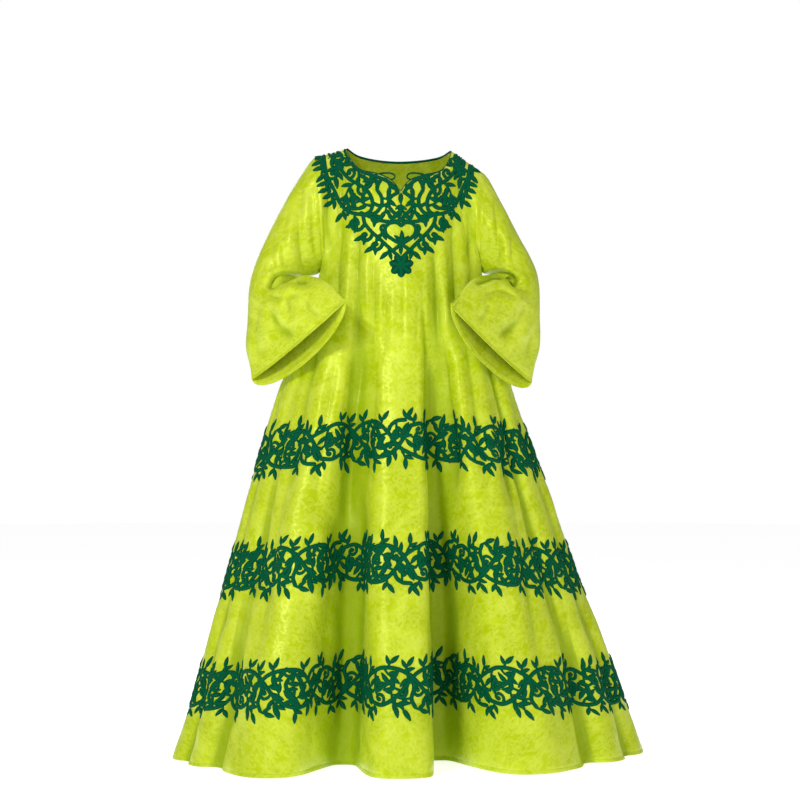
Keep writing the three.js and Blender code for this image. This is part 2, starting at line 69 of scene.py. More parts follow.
bpy.ops.object.camera_add(location=(0, -CAMERA["distance"], CAMERA["height"]))
camera = bpy.context.object
turn_to(camera, (0, 0, CAMERA["height"]))
camera.data.sensor_width = SENSOR * 1000
camera.data.lens = camera.data.sensor_width * PHOTO["focal_pixels"] / PHOTO["size"]
camera.data.shift_x = (PHOTO["size"] / 2 - PHOTO["column"]) / PHOTO["size"]
camera.data.shift_y = (PHOTO["horizon"] - PHOTO["size"] / 2) / PHOTO["size"]
bpy.context.scene.camera = camera

for row in LIGHTS:
    bpy.ops.object.light_add(type="AREA", location=row["place"])
    light = bpy.context.object
    light.name = row["name"] + "_light"
    light.data.energy = row["power"]
    light.data.size = row["size"]
    turn_to(light, row["aim"])

bpy.context.scene.view_settings.view_transform = "Standard"
bpy.context.scene.view_settings.look = "None"


class Wire:
    """One socket of a node tree, so that sums on it are written as sums."""

    def __init__(self, tree, socket=None):
        self.tree = tree
        self.socket = socket

    def make(self, kind, out=0, inputs=None, **settings):
        """Adds a node: its settings first, then its sockets' values or links."""
        made = self.tree.nodes.new("ShaderNode" + kind)
        for name, value in settings.items():
            setattr(made, name, value)
        for name, value in (inputs or {}).items():
            if isinstance(value, Wire):
                self.tree.links.new(value.socket, made.inputs[name])
            else:
                made.inputs[name].default_value = value
        return Wire(self.tree, made.outputs[out] if len(made.outputs) else None)

    def math(self, operation, *values):
        return self.make("Math", operation=operation, inputs=dict(enumerate(values)))

    def vector(self, operation, *values, out=0):
        return self.make("VectorMath", out, operation=operation, inputs=dict(enumerate(values)))

    def between(self, low, high):
        """0 below low, 1 above high and smooth between them."""
        inputs = {0: self, 1: low, 2: high}
        return self.make("MapRange", interpolation_type="SMOOTHSTEP", inputs=inputs)

    def mix(self, first, second):
        """One colour where this is 0 and the other where it is 1."""
        return self.make("Mix", 2, data_type="RGBA", inputs={0: self, 6: first, 7: second})

    def __add__(self, other):
        return self.math("ADD", self, other)

    __radd__ = __add__

    def __sub__(self, other):
        return self.math("SUBTRACT", self, other)

    def __rsub__(self, other):
        return self.math("SUBTRACT", other, self)

    def __mul__(self, other):
        return self.math("MULTIPLY", self, other)

    __rmul__ = __mul__

    def __truediv__(self, other):
        return self.math("DIVIDE", self, other)


def new_material(name):
    """A material, the start of its node tree and its main shader."""
    material = bpy.data.materials.new(name)
    material.use_nodes = True
    return material, Wire(material.node_tree), material.node_tree.nodes["Principled BSDF"]


world = bpy.data.worlds.new("studio")
world.use_nodes = True
bpy.context.scene.world = world
sky = world.node_tree.nodes["Background"]
lamp_or_eye = Wire(world.node_tree).make("LightPath")
SKY_LIGHT = 0.25
world.node_tree.links.new((lamp_or_eye * (1 - SKY_LIGHT) + SKY_LIGHT).socket, sky.inputs["Strength"])
sky.inputs["Color"].default_value = (1, 1, 1, 1)

bpy.ops.object.select_all(action="DESELECT")
bpy.ops.mesh.primitive_circle_add(vertices=96, radius=14, fill_type="NGON", location=(0, 0, FLOOR))
floor = bpy.context.object
floor.name = "studio_floor"
paper, _, shader = new_material("white_paper")
shader.inputs["Base Color"].default_value = (0.9, 0.9, 0.9, 1)
shader.inputs["Roughness"].default_value = 0.9
shader.inputs["Specular IOR Level"].default_value = 0.1
shader.inputs["Emission Color"].default_value = (1, 1, 1, 1)
shader.inputs["Emission Strength"].default_value = 0.75
floor.data.materials.append(paper)

# The cloth
# Lime satin jacquard: small swirled leaves are woven tone on tone, a little lighter and
# smoother than their ground. The pattern runs with the thread, by each piece's own UV map,
# which is in metres of flat cloth. In the valleys of the folds, shade is painted into the cloth's colour as a
# deeper green.
LIME_GROUND = (0.55, 0.67, 0.012, 1)
LIME_FIGURE = (0.68, 0.78, 0.10, 1)
LIME_DEEP = (0.46, 0.58, 0.001, 1)
# The last colour is painted shade: the deeper green put into the valleys of the folds
LIME_PAINTED_SHADE = (0.25, 0.37, 0.0, 1)
ROUGH_GROUND = 0.40
ROUGH_FIGURE = 0.30
WANDER = 0.022
OUTLINE = 0.08
VEIN = 0.018
# How far each part of the pattern takes the cloth to its own colour, and how far the
# valleys of the folds take it to the painted shade
SHARES = {"figure": 0.32, "outline": 0.42, "mottle": 0.18, "vein": 0.55, "valley_shade": 0.7}
MOTIFS = (
    {"per_metre": 27, "petals": 5, "twist": 150, "reach": 0.021},
    {"per_metre": 44, "petals": 3, "twist": -260, "reach": 0.014},
)


def jacquard():
    material, start, shader = new_material("lime_jacquard")
    flat = start.make("UVMap", uv_map="cloth")
    wander = start.make("TexNoise", 1, noise_dimensions="2D",
                        inputs={"Vector": flat, "Scale": 22, "Detail": 2})
    wander = start.vector("MULTIPLY_ADD", wander, (WANDER, WANDER, 0), (-WANDER / 2, -WANDER / 2, 0))
    wavy = start.vector("ADD", flat, wander)
    figure = 0
    outline = 0
    for motif in MOTIFS:
        cells = {"Vector": wavy, "Scale": motif["per_metre"], "Randomness": 0.9}
        centre = start.make("TexVoronoi", 2, voronoi_dimensions="2D", inputs=cells)
        chance = start.make("TexVoronoi", 1, voronoi_dimensions="2D", inputs=cells)
        phase = start.make("SeparateXYZ", 0, inputs={0: chance})
        arm = start.vector("SUBTRACT", wavy, centre)
        across = start.make("SeparateXYZ", 0, inputs={0: arm})
        along = start.make("SeparateXYZ", 1, inputs={0: arm})
        reach = start.vector("LENGTH", arm, out=1)
        angle = start.math("ARCTAN2", along, across)
        petals = start.math("COSINE", angle * motif["petals"] + reach * motif["twist"] + phase * tau)
        raised = 0.55 + petals * 0.45 - reach / motif["reach"]
        figure = figure + raised.between(-0.05, 0.3)
        near_edge = 1 - start.math("ABSOLUTE", raised) / OUTLINE
        outline = outline + near_edge.between(0, 0.9)
    figure = start.math("MINIMUM", figure, 1)
    outline = start.math("MINIMUM", outline, 1)
    clouds = {"Vector": flat, "Scale": 11, "Detail": 3, "Roughness": 0.55, "Distortion": 0.8}
    mottle = start.make("TexNoise", 0, noise_dimensions="2D", inputs=clouds)
    veins = start.make("TexNoise", 0, noise_dimensions="2D",
                       inputs={"Vector": flat, "Scale": 60, "Detail": 1, "Distortion": 1.6})
    vein = (1 - start.math("ABSOLUTE", veins - 0.5) / VEIN).between(0, 1)
    ground = mottle.between(0.38, 0.62).mix(LIME_DEEP, LIME_GROUND)
    clear = mottle.between(0.46, 0.72)
    tone = figure * SHARES["figure"] + outline * SHARES["outline"] + clear * SHARES["mottle"]
    colour = start.math("MINIMUM", tone, 1).mix(ground, LIME_FIGURE)
    colour = (vein * SHARES["vein"]).mix(colour, LIME_DEEP)
    # Painted shade: the deeper a point lies in the valleys of the folds, the nearer its colour goes to the
    # painted shade green
    valley_shade = start.make("Attribute", 2, attribute_name="valley_shade")
    colour = start.math("MINIMUM", valley_shade * SHARES["valley_shade"], 1).mix(colour, LIME_PAINTED_SHADE)
    tree = material.node_tree
    tree.links.new(colour.socket, shader.inputs["Base Color"])
    rough = ROUGH_GROUND - figure * (ROUGH_GROUND - ROUGH_FIGURE)
    tree.links.new(rough.socket, shader.inputs["Roughness"])
    threads = start.make("TexWave", 1, wave_type="BANDS", bands_direction="DIAGONAL",
                         inputs={"Vector": flat, "Scale": 260, "Distortion": 1.5, "Detail": 1})
    height = figure * 0.7 + outline * 0.5 + threads * 0.25 - vein * 0.4
    bump = start.make("Bump", inputs={"Strength": 0.25, "Distance": 0.0006, "Height": height})
    tree.links.new(bump.socket, shader.inputs["Normal"])
    shader.inputs["Sheen Weight"].default_value = 0.06
    shader.inputs["Sheen Roughness"].default_value = 0.4
    shader.inputs["Sheen Tint"].default_value = (0.85, 1, 0.35, 1)
    shader.inputs["Specular IOR Level"].default_value = 0.6
    shader.inputs["Specular Tint"].default_value = (0.9, 1, 0.25, 1)
    return material


lime_jacquard = jacquard()

# The front and the back
# Two flared panels of the jacquard, cut in one from shoulder to hem and sewn together at the
# shoulders and down the sides. They hang in deep rolled folds that grow towards the hem.
LENGTH = 1.420
HEM = -LENGTH
UNDERARM = -0.290
CLOTH = 0.002
SIDE_SINK = 0.030
FOLDS_START = -0.330
FOLDS_GROWTH = 1.1
COLUMNS_SETTLE = -0.560
CORNER_SHARE = 0.026
BAND = {"depth": 0.105, "centres": {"lower": -1.227, "middle": -0.958, "upper": -0.686}}
# The body's ring at each height: half widths, half depths, how far the sides are turned, and
# how much the folds are drawn to the middle
RINGS = np.array([
    # z, left, right, front, back, turn, gather
    (-0.290, 0.190, 0.181, 0.142, 0.124, 0.000, 0.60),
    (-0.400, 0.225, 0.208, 0.155, 0.134, 0.005, 0.50),
    (-0.480, 0.255, 0.232, 0.165, 0.140, 0.008, 0.43),
    (-0.593, 0.298, 0.265, 0.190, 0.155, 0.013, 0.35),
    (-0.828, 0.366, 0.350, 0.243, 0.188, 0.022, 0.22),
    (-1.039, 0.422, 0.425, 0.288, 0.218, 0.031, 0.14),
    (-1.156, 0.456, 0.473, 0.314, 0.235, 0.036, 0.09),
    (-1.313, 0.498, 0.529, 0.345, 0.257, 0.043, 0.03),
    (-1.420, 0.535, 0.568, 0.362, 0.270, 0.047, 0.00),
])
RING_COLUMNS = {"left": 1, "right": 2, "front": 3, "back": 4, "turn": 5, "gather": 6}
# Folds at the hem: place across the panel from -1 to 1, half width, depth inwards, and how
# steep the left and the right flank are
FRONT_FOLDS = (
    {"at": -0.37, "half": 0.12, "depth": -0.066, "left": 2.5, "right": 2.5},
    {"at": -0.183, "half": 0.0705, "depth": 0.190, "left": 5, "right": 5},
    {"at": -0.02, "half": 0.1, "depth": -0.036, "left": 3, "right": 3},
    {"at": 0.154, "half": 0.063, "depth": 0.235, "left": 9, "right": 4},
    {"at": 0.33, "half": 0.12, "depth": -0.052, "left": 3, "right": 2.5},
    {"at": -0.585, "half": 0.05, "depth": 0.034, "left": 3, "right": 3},
    {"at": 0.56, "half": 0.045, "depth": 0.040, "left": 3, "right": 3},
    {"at": -0.8, "half": 0.045, "depth": 0.024, "left": 3, "right": 3},
    {"at": 0.79, "half": 0.05, "depth": 0.026, "left": 3, "right": 3},
)
BACK_FOLDS = (
    {"at": -0.62, "half": 0.07, "depth": 0.082, "left": 4, "right": 4},
    {"at": -0.4, "half": 0.1, "depth": -0.034, "left": 3, "right": 3},
    {"at": -0.2, "half": 0.075, "depth": 0.118, "left": 5, "right": 4},
    {"at": 0.02, "half": 0.1, "depth": -0.040, "left": 3, "right": 3},
    {"at": 0.23, "half": 0.07, "depth": 0.104, "left": 4, "right": 5},
    {"at": 0.43, "half": 0.1, "depth": -0.030, "left": 3, "right": 3},
    {"at": 0.65, "half": 0.07, "depth": 0.090, "left": 4, "right": 4},
)
NECK_FRONT = np.array([
    (-0.134, 0.018, -0.002), (-0.124, -0.012, -0.028), (-0.100, -0.048, -0.058),
    (-0.062, -0.074, -0.072), (-0.033, -0.087, -0.085), (-0.017, -0.094, -0.100),
    (-0.006, -0.098, -0.114), (0.005, -0.094, -0.100), (0.021, -0.087, -0.086),
    (0.050, -0.074, -0.075), (0.088, -0.048, -0.062), (0.107, -0.012, -0.034),
    (0.115, 0.018, -0.008),
])
NECK_BACK = np.array([
    (0.115, 0.018, -0.008), (0.084, 0.052, -0.022), (-0.009, 0.074, -0.030),
    (-0.102, 0.052, -0.019), (-0.134, 0.018, -0.002),
])
SLIT = 6  # the row of NECK_FRONT at the foot of the slit
# The sleeves from the armhole to the cuff: the outer and the inner line of the tube, and how
# far its front and its back stand out between them
SLEEVE_LEFT = {
    "outer": ((-0.212, 0.005, -0.025), (-0.262, 0.010, -0.105), (-0.309, 0.015, -0.198),
              (-0.347, 0.015, -0.297), (-0.361, 0.005, -0.390), (-0.361, -0.020, -0.470),
              (-0.352, -0.050, -0.545)),
    "inner": ((-0.190, 0, -0.290), (-0.215, -0.010, -0.300), (-0.245, -0.035, -0.312),
              (-0.268, -0.060, -0.325), (-0.240, -0.110, -0.312), (-0.185, -0.175, -0.325),
              (-0.127, -0.250, -0.372)),
    "front": ((0.008, -0.068, 0), (-0.005, -0.074, 0), (-0.012, -0.076, -0.005),
              (-0.020, -0.062, -0.010), (-0.022, -0.048, -0.022), (-0.012, -0.030, -0.016),
              (0.002, -0.012, -0.008)),
    "back": ((0, 0.070, 0), (-0.005, 0.066, 0), (-0.010, 0.062, -0.008),
             (-0.010, 0.062, -0.025), (0, 0.058, -0.042), (0.012, 0.040, -0.050),
             (0.016, 0.012, -0.054)),
}
SLEEVE_RIGHT = {
    "outer": ((0.196, 0.005, -0.066), (0.232, 0.010, -0.137), (0.268, 0.015, -0.210),
              (0.306, 0.015, -0.290), (0.318, 0.005, -0.375), (0.314, -0.020, -0.462),
              (0.300, -0.050, -0.552)),
    "inner": ((0.181, 0, -0.290), (0.204, -0.010, -0.300), (0.222, -0.035, -0.308),
              (0.236, -0.060, -0.314), (0.214, -0.110, -0.308), (0.160, -0.175, -0.325),
              (0.107, -0.250, -0.383)),
    "front": ((-0.008, -0.066, 0), (0.004, -0.072, 0), (0.010, -0.074, -0.005),
              (0.018, -0.060, -0.010), (0.020, -0.046, -0.022), (0.012, -0.030, -0.016),
              (-0.002, -0.012, -0.008)),
    "back": ((0, 0.068, 0), (0.005, 0.064, 0), (0.010, 0.060, -0.008),
             (0.010, 0.060, -0.025), (0, 0.056, -0.040), (-0.012, 0.040, -0.048),
             (-0.014, 0.012, -0.052)),
}
# Each panel's cloth mesh in cells: across it and across each of its shoulders, and up its
# skirt and its chest
FRONT = {"name": "front", "face": -1, "folds": FRONT_FOLDS, "neck": NECK_FRONT, "columns": 252,
         "shoulder": 35, "skirt_rows": 136, "chest_rows": 38}
BACK = {"name": "back", "face": 1, "folds": BACK_FOLDS, "neck": NECK_BACK, "columns": 180,
        "shoulder": 45, "skirt_rows": 116, "chest_rows": 34}
ARMHOLE_FADE = {"top": 2.2, "underarm": 9}
HEM_ROWS = (0, 0.003, 0.006, 0.0085, 0.011)
CUFF_ROWS = (0, 0.006, 0.012, 0.017, 0.022)
VALLEY_DEPTH = 0.011
VALLEY_REACHES = (3, 8, 16)
# A crease's section in widths and depths: how sharp its foot is, and where its ridges lie
CREASE = {"sharp": 1.35, "ridge_at": 2.1, "ridge_wide": 0.9, "right_ridge": 0.30, "left_ridge": 0.16,
          "steps": 12}


def smoothstep(value):
    value = np.clip(value, 0, 1)
    return value * value * (3 - 2 * value)


def through(times, values, at):
    """A smooth curve through the rows of a table: each row's slope is the mean of its two sides."""
    spans = np.diff(times)
    slopes = np.diff(values, axis=0) / spans[:, None]
    tangents = np.vstack([slopes[:1], (slopes[1:] + slopes[:-1]) / 2, slopes[-1:]])
    row = np.clip(np.searchsorted(times, at) - 1, 0, len(times) - 2)
    span = spans[row][:, None]
    p = ((at - times[row]) / spans[row])[:, None]
    rise = p * p * (3 - 2 * p)
    start = p * (1 - p) ** 2 * span * tangents[row]
    end = p * p * (p - 1) * span * tangents[row + 1]
    return values[row] * (1 - rise) + values[row + 1] * rise + start + end


def ring_values(z):
    """The ring's sizes at each of many heights, by name."""
    shape = np.shape(z)
    flat = through(-RINGS[:, 0], RINGS, -np.ravel(z))
    return {name: flat[:, column].reshape(shape) for name, column in RING_COLUMNS.items()}


def angle_at(place, gather):
    return pi / 2 * place * (1 + gather) / (1 + gather * np.abs(place))


def plain_ring(side, place, ring):
    angle = angle_at(place, ring["gather"])
    half_width = np.where(place < 0, ring["left"], ring["right"])
    depth = side["face"] * ring[side["name"]]
    return np.stack([half_width * np.sin(angle), depth * np.cos(angle) + ring["turn"] * np.sin(angle)], -1)


def fold_depth(side, place, z):
    share = np.clip((FOLDS_START - z) / (FOLDS_START - HEM), 0, 1)
    seam = 1 - smoothstep((np.abs(place) - 0.88) / 0.12)
    total = 0
    for fold in side["folds"]:
        steep = np.where(place < fold["at"], fold["left"], fold["right"])
        total = total + fold["depth"] / (1 + (np.abs(place - fold["at"]) / fold["half"]) ** steep)
    return seam * share ** FOLDS_GROWTH * total


def body_points(side, place, z):
    """Points of the body below the underarm: the ring with its folds."""
    step = 0.002
    ring = ring_values(z)
    here = plain_ring(side, place, ring)
    after = plain_ring(side, np.minimum(1, place + step), ring)
    before = plain_ring(side, np.maximum(-1, place - step), ring)
    along = after - before
    along /= np.linalg.norm(along, axis=-1, keepdims=True)
    inwards = fold_depth(side, place, z) * side["face"]
    x = here[..., 0] + along[..., 1] * inwards
    y = here[..., 1] - along[..., 0] * inwards
    return np.stack([x, y, z], -1)


def even_places(side, level):
    """Places across a panel in steps of even length, with a turn counted as extra length."""
    places = np.linspace(-1, 1, 801)
    points = body_points(side, places, np.full(801, level))
    steps = np.diff(points, axis=0)
    lengths = np.linalg.norm(steps, axis=1)
    cosine = np.sum(steps[1:] * steps[:-1], axis=1) / (lengths[1:] * lengths[:-1])
    turns = np.concatenate([[0], np.arccos(np.clip(cosine, -1, 1))])
    totals = np.concatenate([[0], np.cumsum(lengths + CORNER_SHARE * turns)])
    return np.interp(np.linspace(0, totals[-1], side["columns"] + 1), totals, places)


def sink_at(level):
    """How far a row lies lower at the side seams: nothing at the hem and at the underarm."""
    centres = BAND["centres"]
    lowest = centres["lower"] - BAND["depth"] / 2
    highest = centres["upper"] + BAND["depth"] / 2
    from_hem = np.clip((level - HEM) / (lowest - HEM), 0, 1)
    from_underarm = np.clip((UNDERARM - level) / (UNDERARM - highest), 0, 1)
    return SIDE_SINK * np.minimum(from_hem, from_underarm)


def spline(points, at):
    """A centripetal Catmull-Rom curve through points, at shares of its rows."""
    points = np.asarray(points, float)
    ends = np.vstack([2 * points[0] - points[1], points, 2 * points[-1] - points[-2]])
    place = np.clip(np.asarray(at, float), 0, 1) * (len(points) - 1)
    row = np.minimum(place.astype(int), len(points) - 2)
    p = (place - row)[:, None]
    a, b, c, d = (ends[row + k] for k in range(4))
    before, here, after = (np.linalg.norm(v, axis=1, keepdims=True) ** 0.5 for v in (b - a, c - b, d - c))
    start = ((b - a) / before - (c - a) / (before + here) + (c - b) / here) * here
    end = ((c - b) / here - (d - b) / (here + after) + (d - c) / after) * here
    return b + p * start + p * p * (3 * (c - b) - 2 * start - end) + p ** 3 * (2 * (b - c) + start + end)


def by_length(points, shares):
    """Points at even shares of the length of a finely sampled line."""
    steps = np.concatenate([[0], np.cumsum(np.linalg.norm(np.diff(points, axis=0), axis=1))])
    return np.stack([np.interp(np.asarray(shares) * steps[-1], steps, axis) for axis in points.T], -1)


def sleeve_points(sleeve, share, half, angle):
    """Points of a sleeve: share from the armhole to the cuff, and angle from its outer line."""
    lines = {name: spline(points, share) for name, points in sleeve.items()}
    middle = (lines["outer"] + lines["inner"]) / 2
    return middle + (lines["outer"] - middle) * np.cos(angle)[:, None] + lines[half] * np.sin(angle)[:, None]


def upper_edge(side, start_tip, end_tip):
    """The panel's upper edge: shoulder, neck, shoulder."""
    neck_cells = side["columns"] - 2 * side["shoulder"]
    fine = spline(side["neck"], np.linspace(0, 1, 2401))
    if side["name"] == "front":
        foot = SLIT * 200
        half = np.linspace(0, 1, neck_cells // 2 + 1)
        neck = np.vstack([by_length(fine[: foot + 1], half), by_length(fine[foot:], half)[1:]])
    else:
        neck = by_length(fine, np.linspace(0, 1, neck_cells + 1))
    share = np.linspace(0, 1, side["shoulder"] + 1)[:, None]
    first = start_tip * (1 - share) + neck[0] * share
    last = neck[-1] * (1 - share) + end_tip * share
    return np.vstack([first[:-1], neck, last[1:]])


def skirt_levels(side):
    """The heights of the skirt's rows, close together at the stitched hem."""
    rest = np.linspace(HEM + HEM_ROWS[-1] + 0.004, UNDERARM, side["skirt_rows"] - len(HEM_ROWS) + 1)
    return np.concatenate([HEM + np.array(HEM_ROWS), rest])


def body_grid(side):
    """The panel's outer surface as a grid of points, row by row from the hem."""
    levels = skirt_levels(side)[:, None]
    high = even_places(side, UNDERARM)
    low = even_places(side, HEM)
    settled = smoothstep((UNDERARM - levels) / (UNDERARM - COLUMNS_SETTLE))
    place = high * (1 - settled) + low * settled
    sink = sink_at(levels) * np.sin(angle_at(place, ring_values(levels)["gather"])) ** 2
    rows = body_points(side, place, levels - sink)
    starts, ends = SLEEVE_LEFT, SLEEVE_RIGHT
    if side["name"] == "back":
        rows = rows[:, ::-1]
        starts, ends = SLEEVE_RIGHT, SLEEVE_LEFT
    ring = rows[-1]
    up = np.arange(1, side["chest_rows"] + 1) / side["chest_rows"]
    start = sleeve_points(starts, np.zeros_like(up), side["name"], pi * (1 - up))
    end = sleeve_points(ends, np.zeros_like(up), side["name"], pi * (1 - up))
    top = upper_edge(side, start[-1], end[-1])
    across = np.linspace(0, 1, side["columns"] + 1)[None, :, None]
    up = up[:, None, None]
    plain = ring[None] * (1 - up) + top[None] * up
    fade = ARMHOLE_FADE["top"] + ARMHOLE_FADE["underarm"] * (1 - up) ** 2
    start_rise = start[:, None] - plain[:, :1]
    end_rise = end[:, None] - plain[:, -1:]
    chest = plain + start_rise * (1 - across) ** fade + end_rise * across ** fade
    chest[-1] = top
    return np.vstack([rows, chest])


def sleeve_grid(sleeve, first_half, second_half, around, along):
    """A sleeve's outer surface, row by row from the cuff, closed round the arm."""
    rest = np.linspace(1 - CUFF_ROWS[-1] - 0.008, 0, along + 1 - len(CUFF_ROWS))
    share = np.concatenate([1 - np.array(CUFF_ROWS), rest])
    columns = []
    for k in range(around + 1):
        angle = tau * k / around
        half = first_half if angle <= pi else second_half
        turn = angle if angle <= pi else tau - angle
        columns.append(sleeve_points(sleeve, share, half, np.full_like(share, turn)))
    return np.stack(columns, axis=1)


def grid_normals(grid, closed=False):
    """The direction out of a grid's surface at each of its points."""
    if closed:
        wide = np.concatenate([grid[:, -2:-1], grid, grid[:, 1:2]], axis=1)
        across = (wide[:, 2:] - wide[:, :-2])
    else:
        across = np.gradient(grid, axis=1)
    normals = np.cross(across, np.gradient(grid, axis=0))
    return normals / np.linalg.norm(normals, axis=-1, keepdims=True)


def crease_depth(grid, creases):
    """How far creases draw the surface in. Each is a line seen from the front, a trough with
    a crisp foot between two low ridges: the higher one is the right or the upper one."""
    total = np.zeros(grid.shape[:2])
    flat = grid[..., [0, 2]]
    for crease in creases:
        line = spline(crease["line"], np.linspace(0, 1, CREASE["steps"] + 1))
        nearest = np.full(grid.shape[:2], np.inf)
        share = np.zeros(grid.shape[:2])
        right = np.zeros(grid.shape[:2])
        for k, (start, end) in enumerate(zip(line[:-1], line[1:])):
            step = end - start
            along = np.clip((flat - start) @ step / (step @ step), 0, 1)
            off = flat - start - along[..., None] * step
            away = np.linalg.norm(off, axis=-1)
            closer = away < nearest
            share = np.where(closer, (k + along) / CREASE["steps"], share)
            right = np.where(closer, off[..., 1] * step[0] - off[..., 0] * step[1], right)
            nearest = np.minimum(nearest, away)
        width = crease["width"]
        fade = np.sin(pi * np.clip(share, 0.02, 0.98)) ** 0.7
        uneven = 1 + 0.25 * np.sin(9 * share + 40 * width + 3 * crease["line"][0][0])
        trough = np.exp(-(nearest / width) ** CREASE["sharp"])
        ridge = np.exp(-((nearest - CREASE["ridge_at"] * width) / (CREASE["ridge_wide"] * width)) ** 2)
        ridge = ridge * np.where(right > 0, CREASE["right_ridge"], CREASE["left_ridge"])
        total += crease["depth"] * fade * uneven * (trough - ridge)
    return total


def ripple(flat, waves):
    """Soft unevenness of cloth that hangs free: a sum of long slanting waves, by flat place."""
    total = np.zeros(flat.shape[:2])
    for wave in waves:
        turn = radians(wave["lean"])
        along = flat[..., 0] * cos(turn) + flat[..., 1] * sin(turn)
        cross = flat[..., 1] * cos(turn) - flat[..., 0] * sin(turn)
        bend = 0.35 * np.sin(tau * cross / (2.7 * wave["length"]) + 2 * wave["shift"])
        total += wave["height"] * np.sin(tau * along / wave["length"] + wave["shift"] + bend)
    return total


def flat_places(grid):
    """Each grid point's place on the flat cloth, in metres from the hem at the middle column."""
    across = np.linalg.norm(np.diff(grid, axis=1), axis=-1)
    across = np.concatenate([np.zeros((len(grid), 1)), np.cumsum(across, axis=1)], axis=1)
    middle = grid.shape[1] // 2
    across = across - across[:, middle:middle + 1]
    up = np.linalg.norm(np.diff(grid[:, middle], axis=0), axis=-1)
    up = np.concatenate([[0], np.cumsum(up)])
    return np.stack([across, np.broadcast_to(up[:, None], across.shape)], -1)


def valleys(grid, closed=False):
    """How deep each point lies in the valleys of the cloth, from 0 to 1, across the folds: the mask of the
    shade that is painted into the cloth's colour.
    """
    normals = grid_normals(grid, closed)
    total = np.zeros(grid.shape[:2])
    for reach in VALLEY_REACHES:
        smooth = grid
        for _ in range(reach * reach // 2):
            if closed:
                ring = smooth[:, :-1]
                ring = (np.roll(ring, 1, 1) + 2 * ring + np.roll(ring, -1, 1)) / 4
                smooth = np.concatenate([ring, ring[:, :1]], axis=1)
            else:
                inner = (smooth[:, :-2] + 2 * smooth[:, 1:-1] + smooth[:, 2:]) / 4
                smooth = np.concatenate([smooth[:, :1], inner, smooth[:, -1:]], axis=1)
        total += np.sum((smooth - grid) * normals, axis=-1) / VALLEY_DEPTH
    return np.clip(total, 0, 1)


def cloth_piece(name, grid, flat, closed=False):
    """A piece of cloth: a grid shaped to its outer surface, with a wall's thickness inwards."""
    rows, columns = grid.shape[0] - 1, grid.shape[1] - 1
    bpy.ops.object.select_all(action="DESELECT")
    bpy.ops.mesh.primitive_grid_add(x_subdivisions=columns, y_subdivisions=rows, size=1, calc_uvs=True)
    piece = bpy.context.object
    piece.name = piece.data.name = name
    mesh = piece.data
    corner = np.empty(len(mesh.vertices) * 3)
    mesh.vertices.foreach_get("co", corner)
    corner = corner.reshape(-1, 3)
    column = np.rint((corner[:, 0] + 0.5) * columns).astype(int)
    row = np.rint((corner[:, 1] + 0.5) * rows).astype(int)
    mesh.vertices.foreach_set("co", grid[row, column].ravel())
    # How deep each point lies in the valleys of the folds, kept for the shade painted into the cloth's colour
    depth = mesh.attributes.new("valley_shade", "FLOAT", "POINT")
    depth.data.foreach_set("value", valleys(grid, closed)[row, column])
    vertex = np.empty(len(mesh.loops), int)
    mesh.loops.foreach_get("vertex_index", vertex)
    mesh.uv_layers[0].name = "cloth"
    mesh.uv_layers["cloth"].data.foreach_set("uv", flat[row[vertex], column[vertex]].ravel())
    mesh.update()
    if closed:
        bpy.ops.object.mode_set(mode="EDIT")
        bpy.ops.mesh.select_all(action="SELECT")
        bpy.ops.mesh.remove_doubles(threshold=1e-6)
        bpy.ops.object.mode_set(mode="OBJECT")
    wall = piece.modifiers.new("wall", "SOLIDIFY")
    wall.thickness = CLOTH
    wall.offset = -1
    bpy.ops.object.modifier_apply(modifier=wall.name)
    bpy.ops.object.shade_smooth_by_angle(angle=radians(50))
    mesh.materials.append(lime_jacquard)
    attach(piece, "root")
    return piece


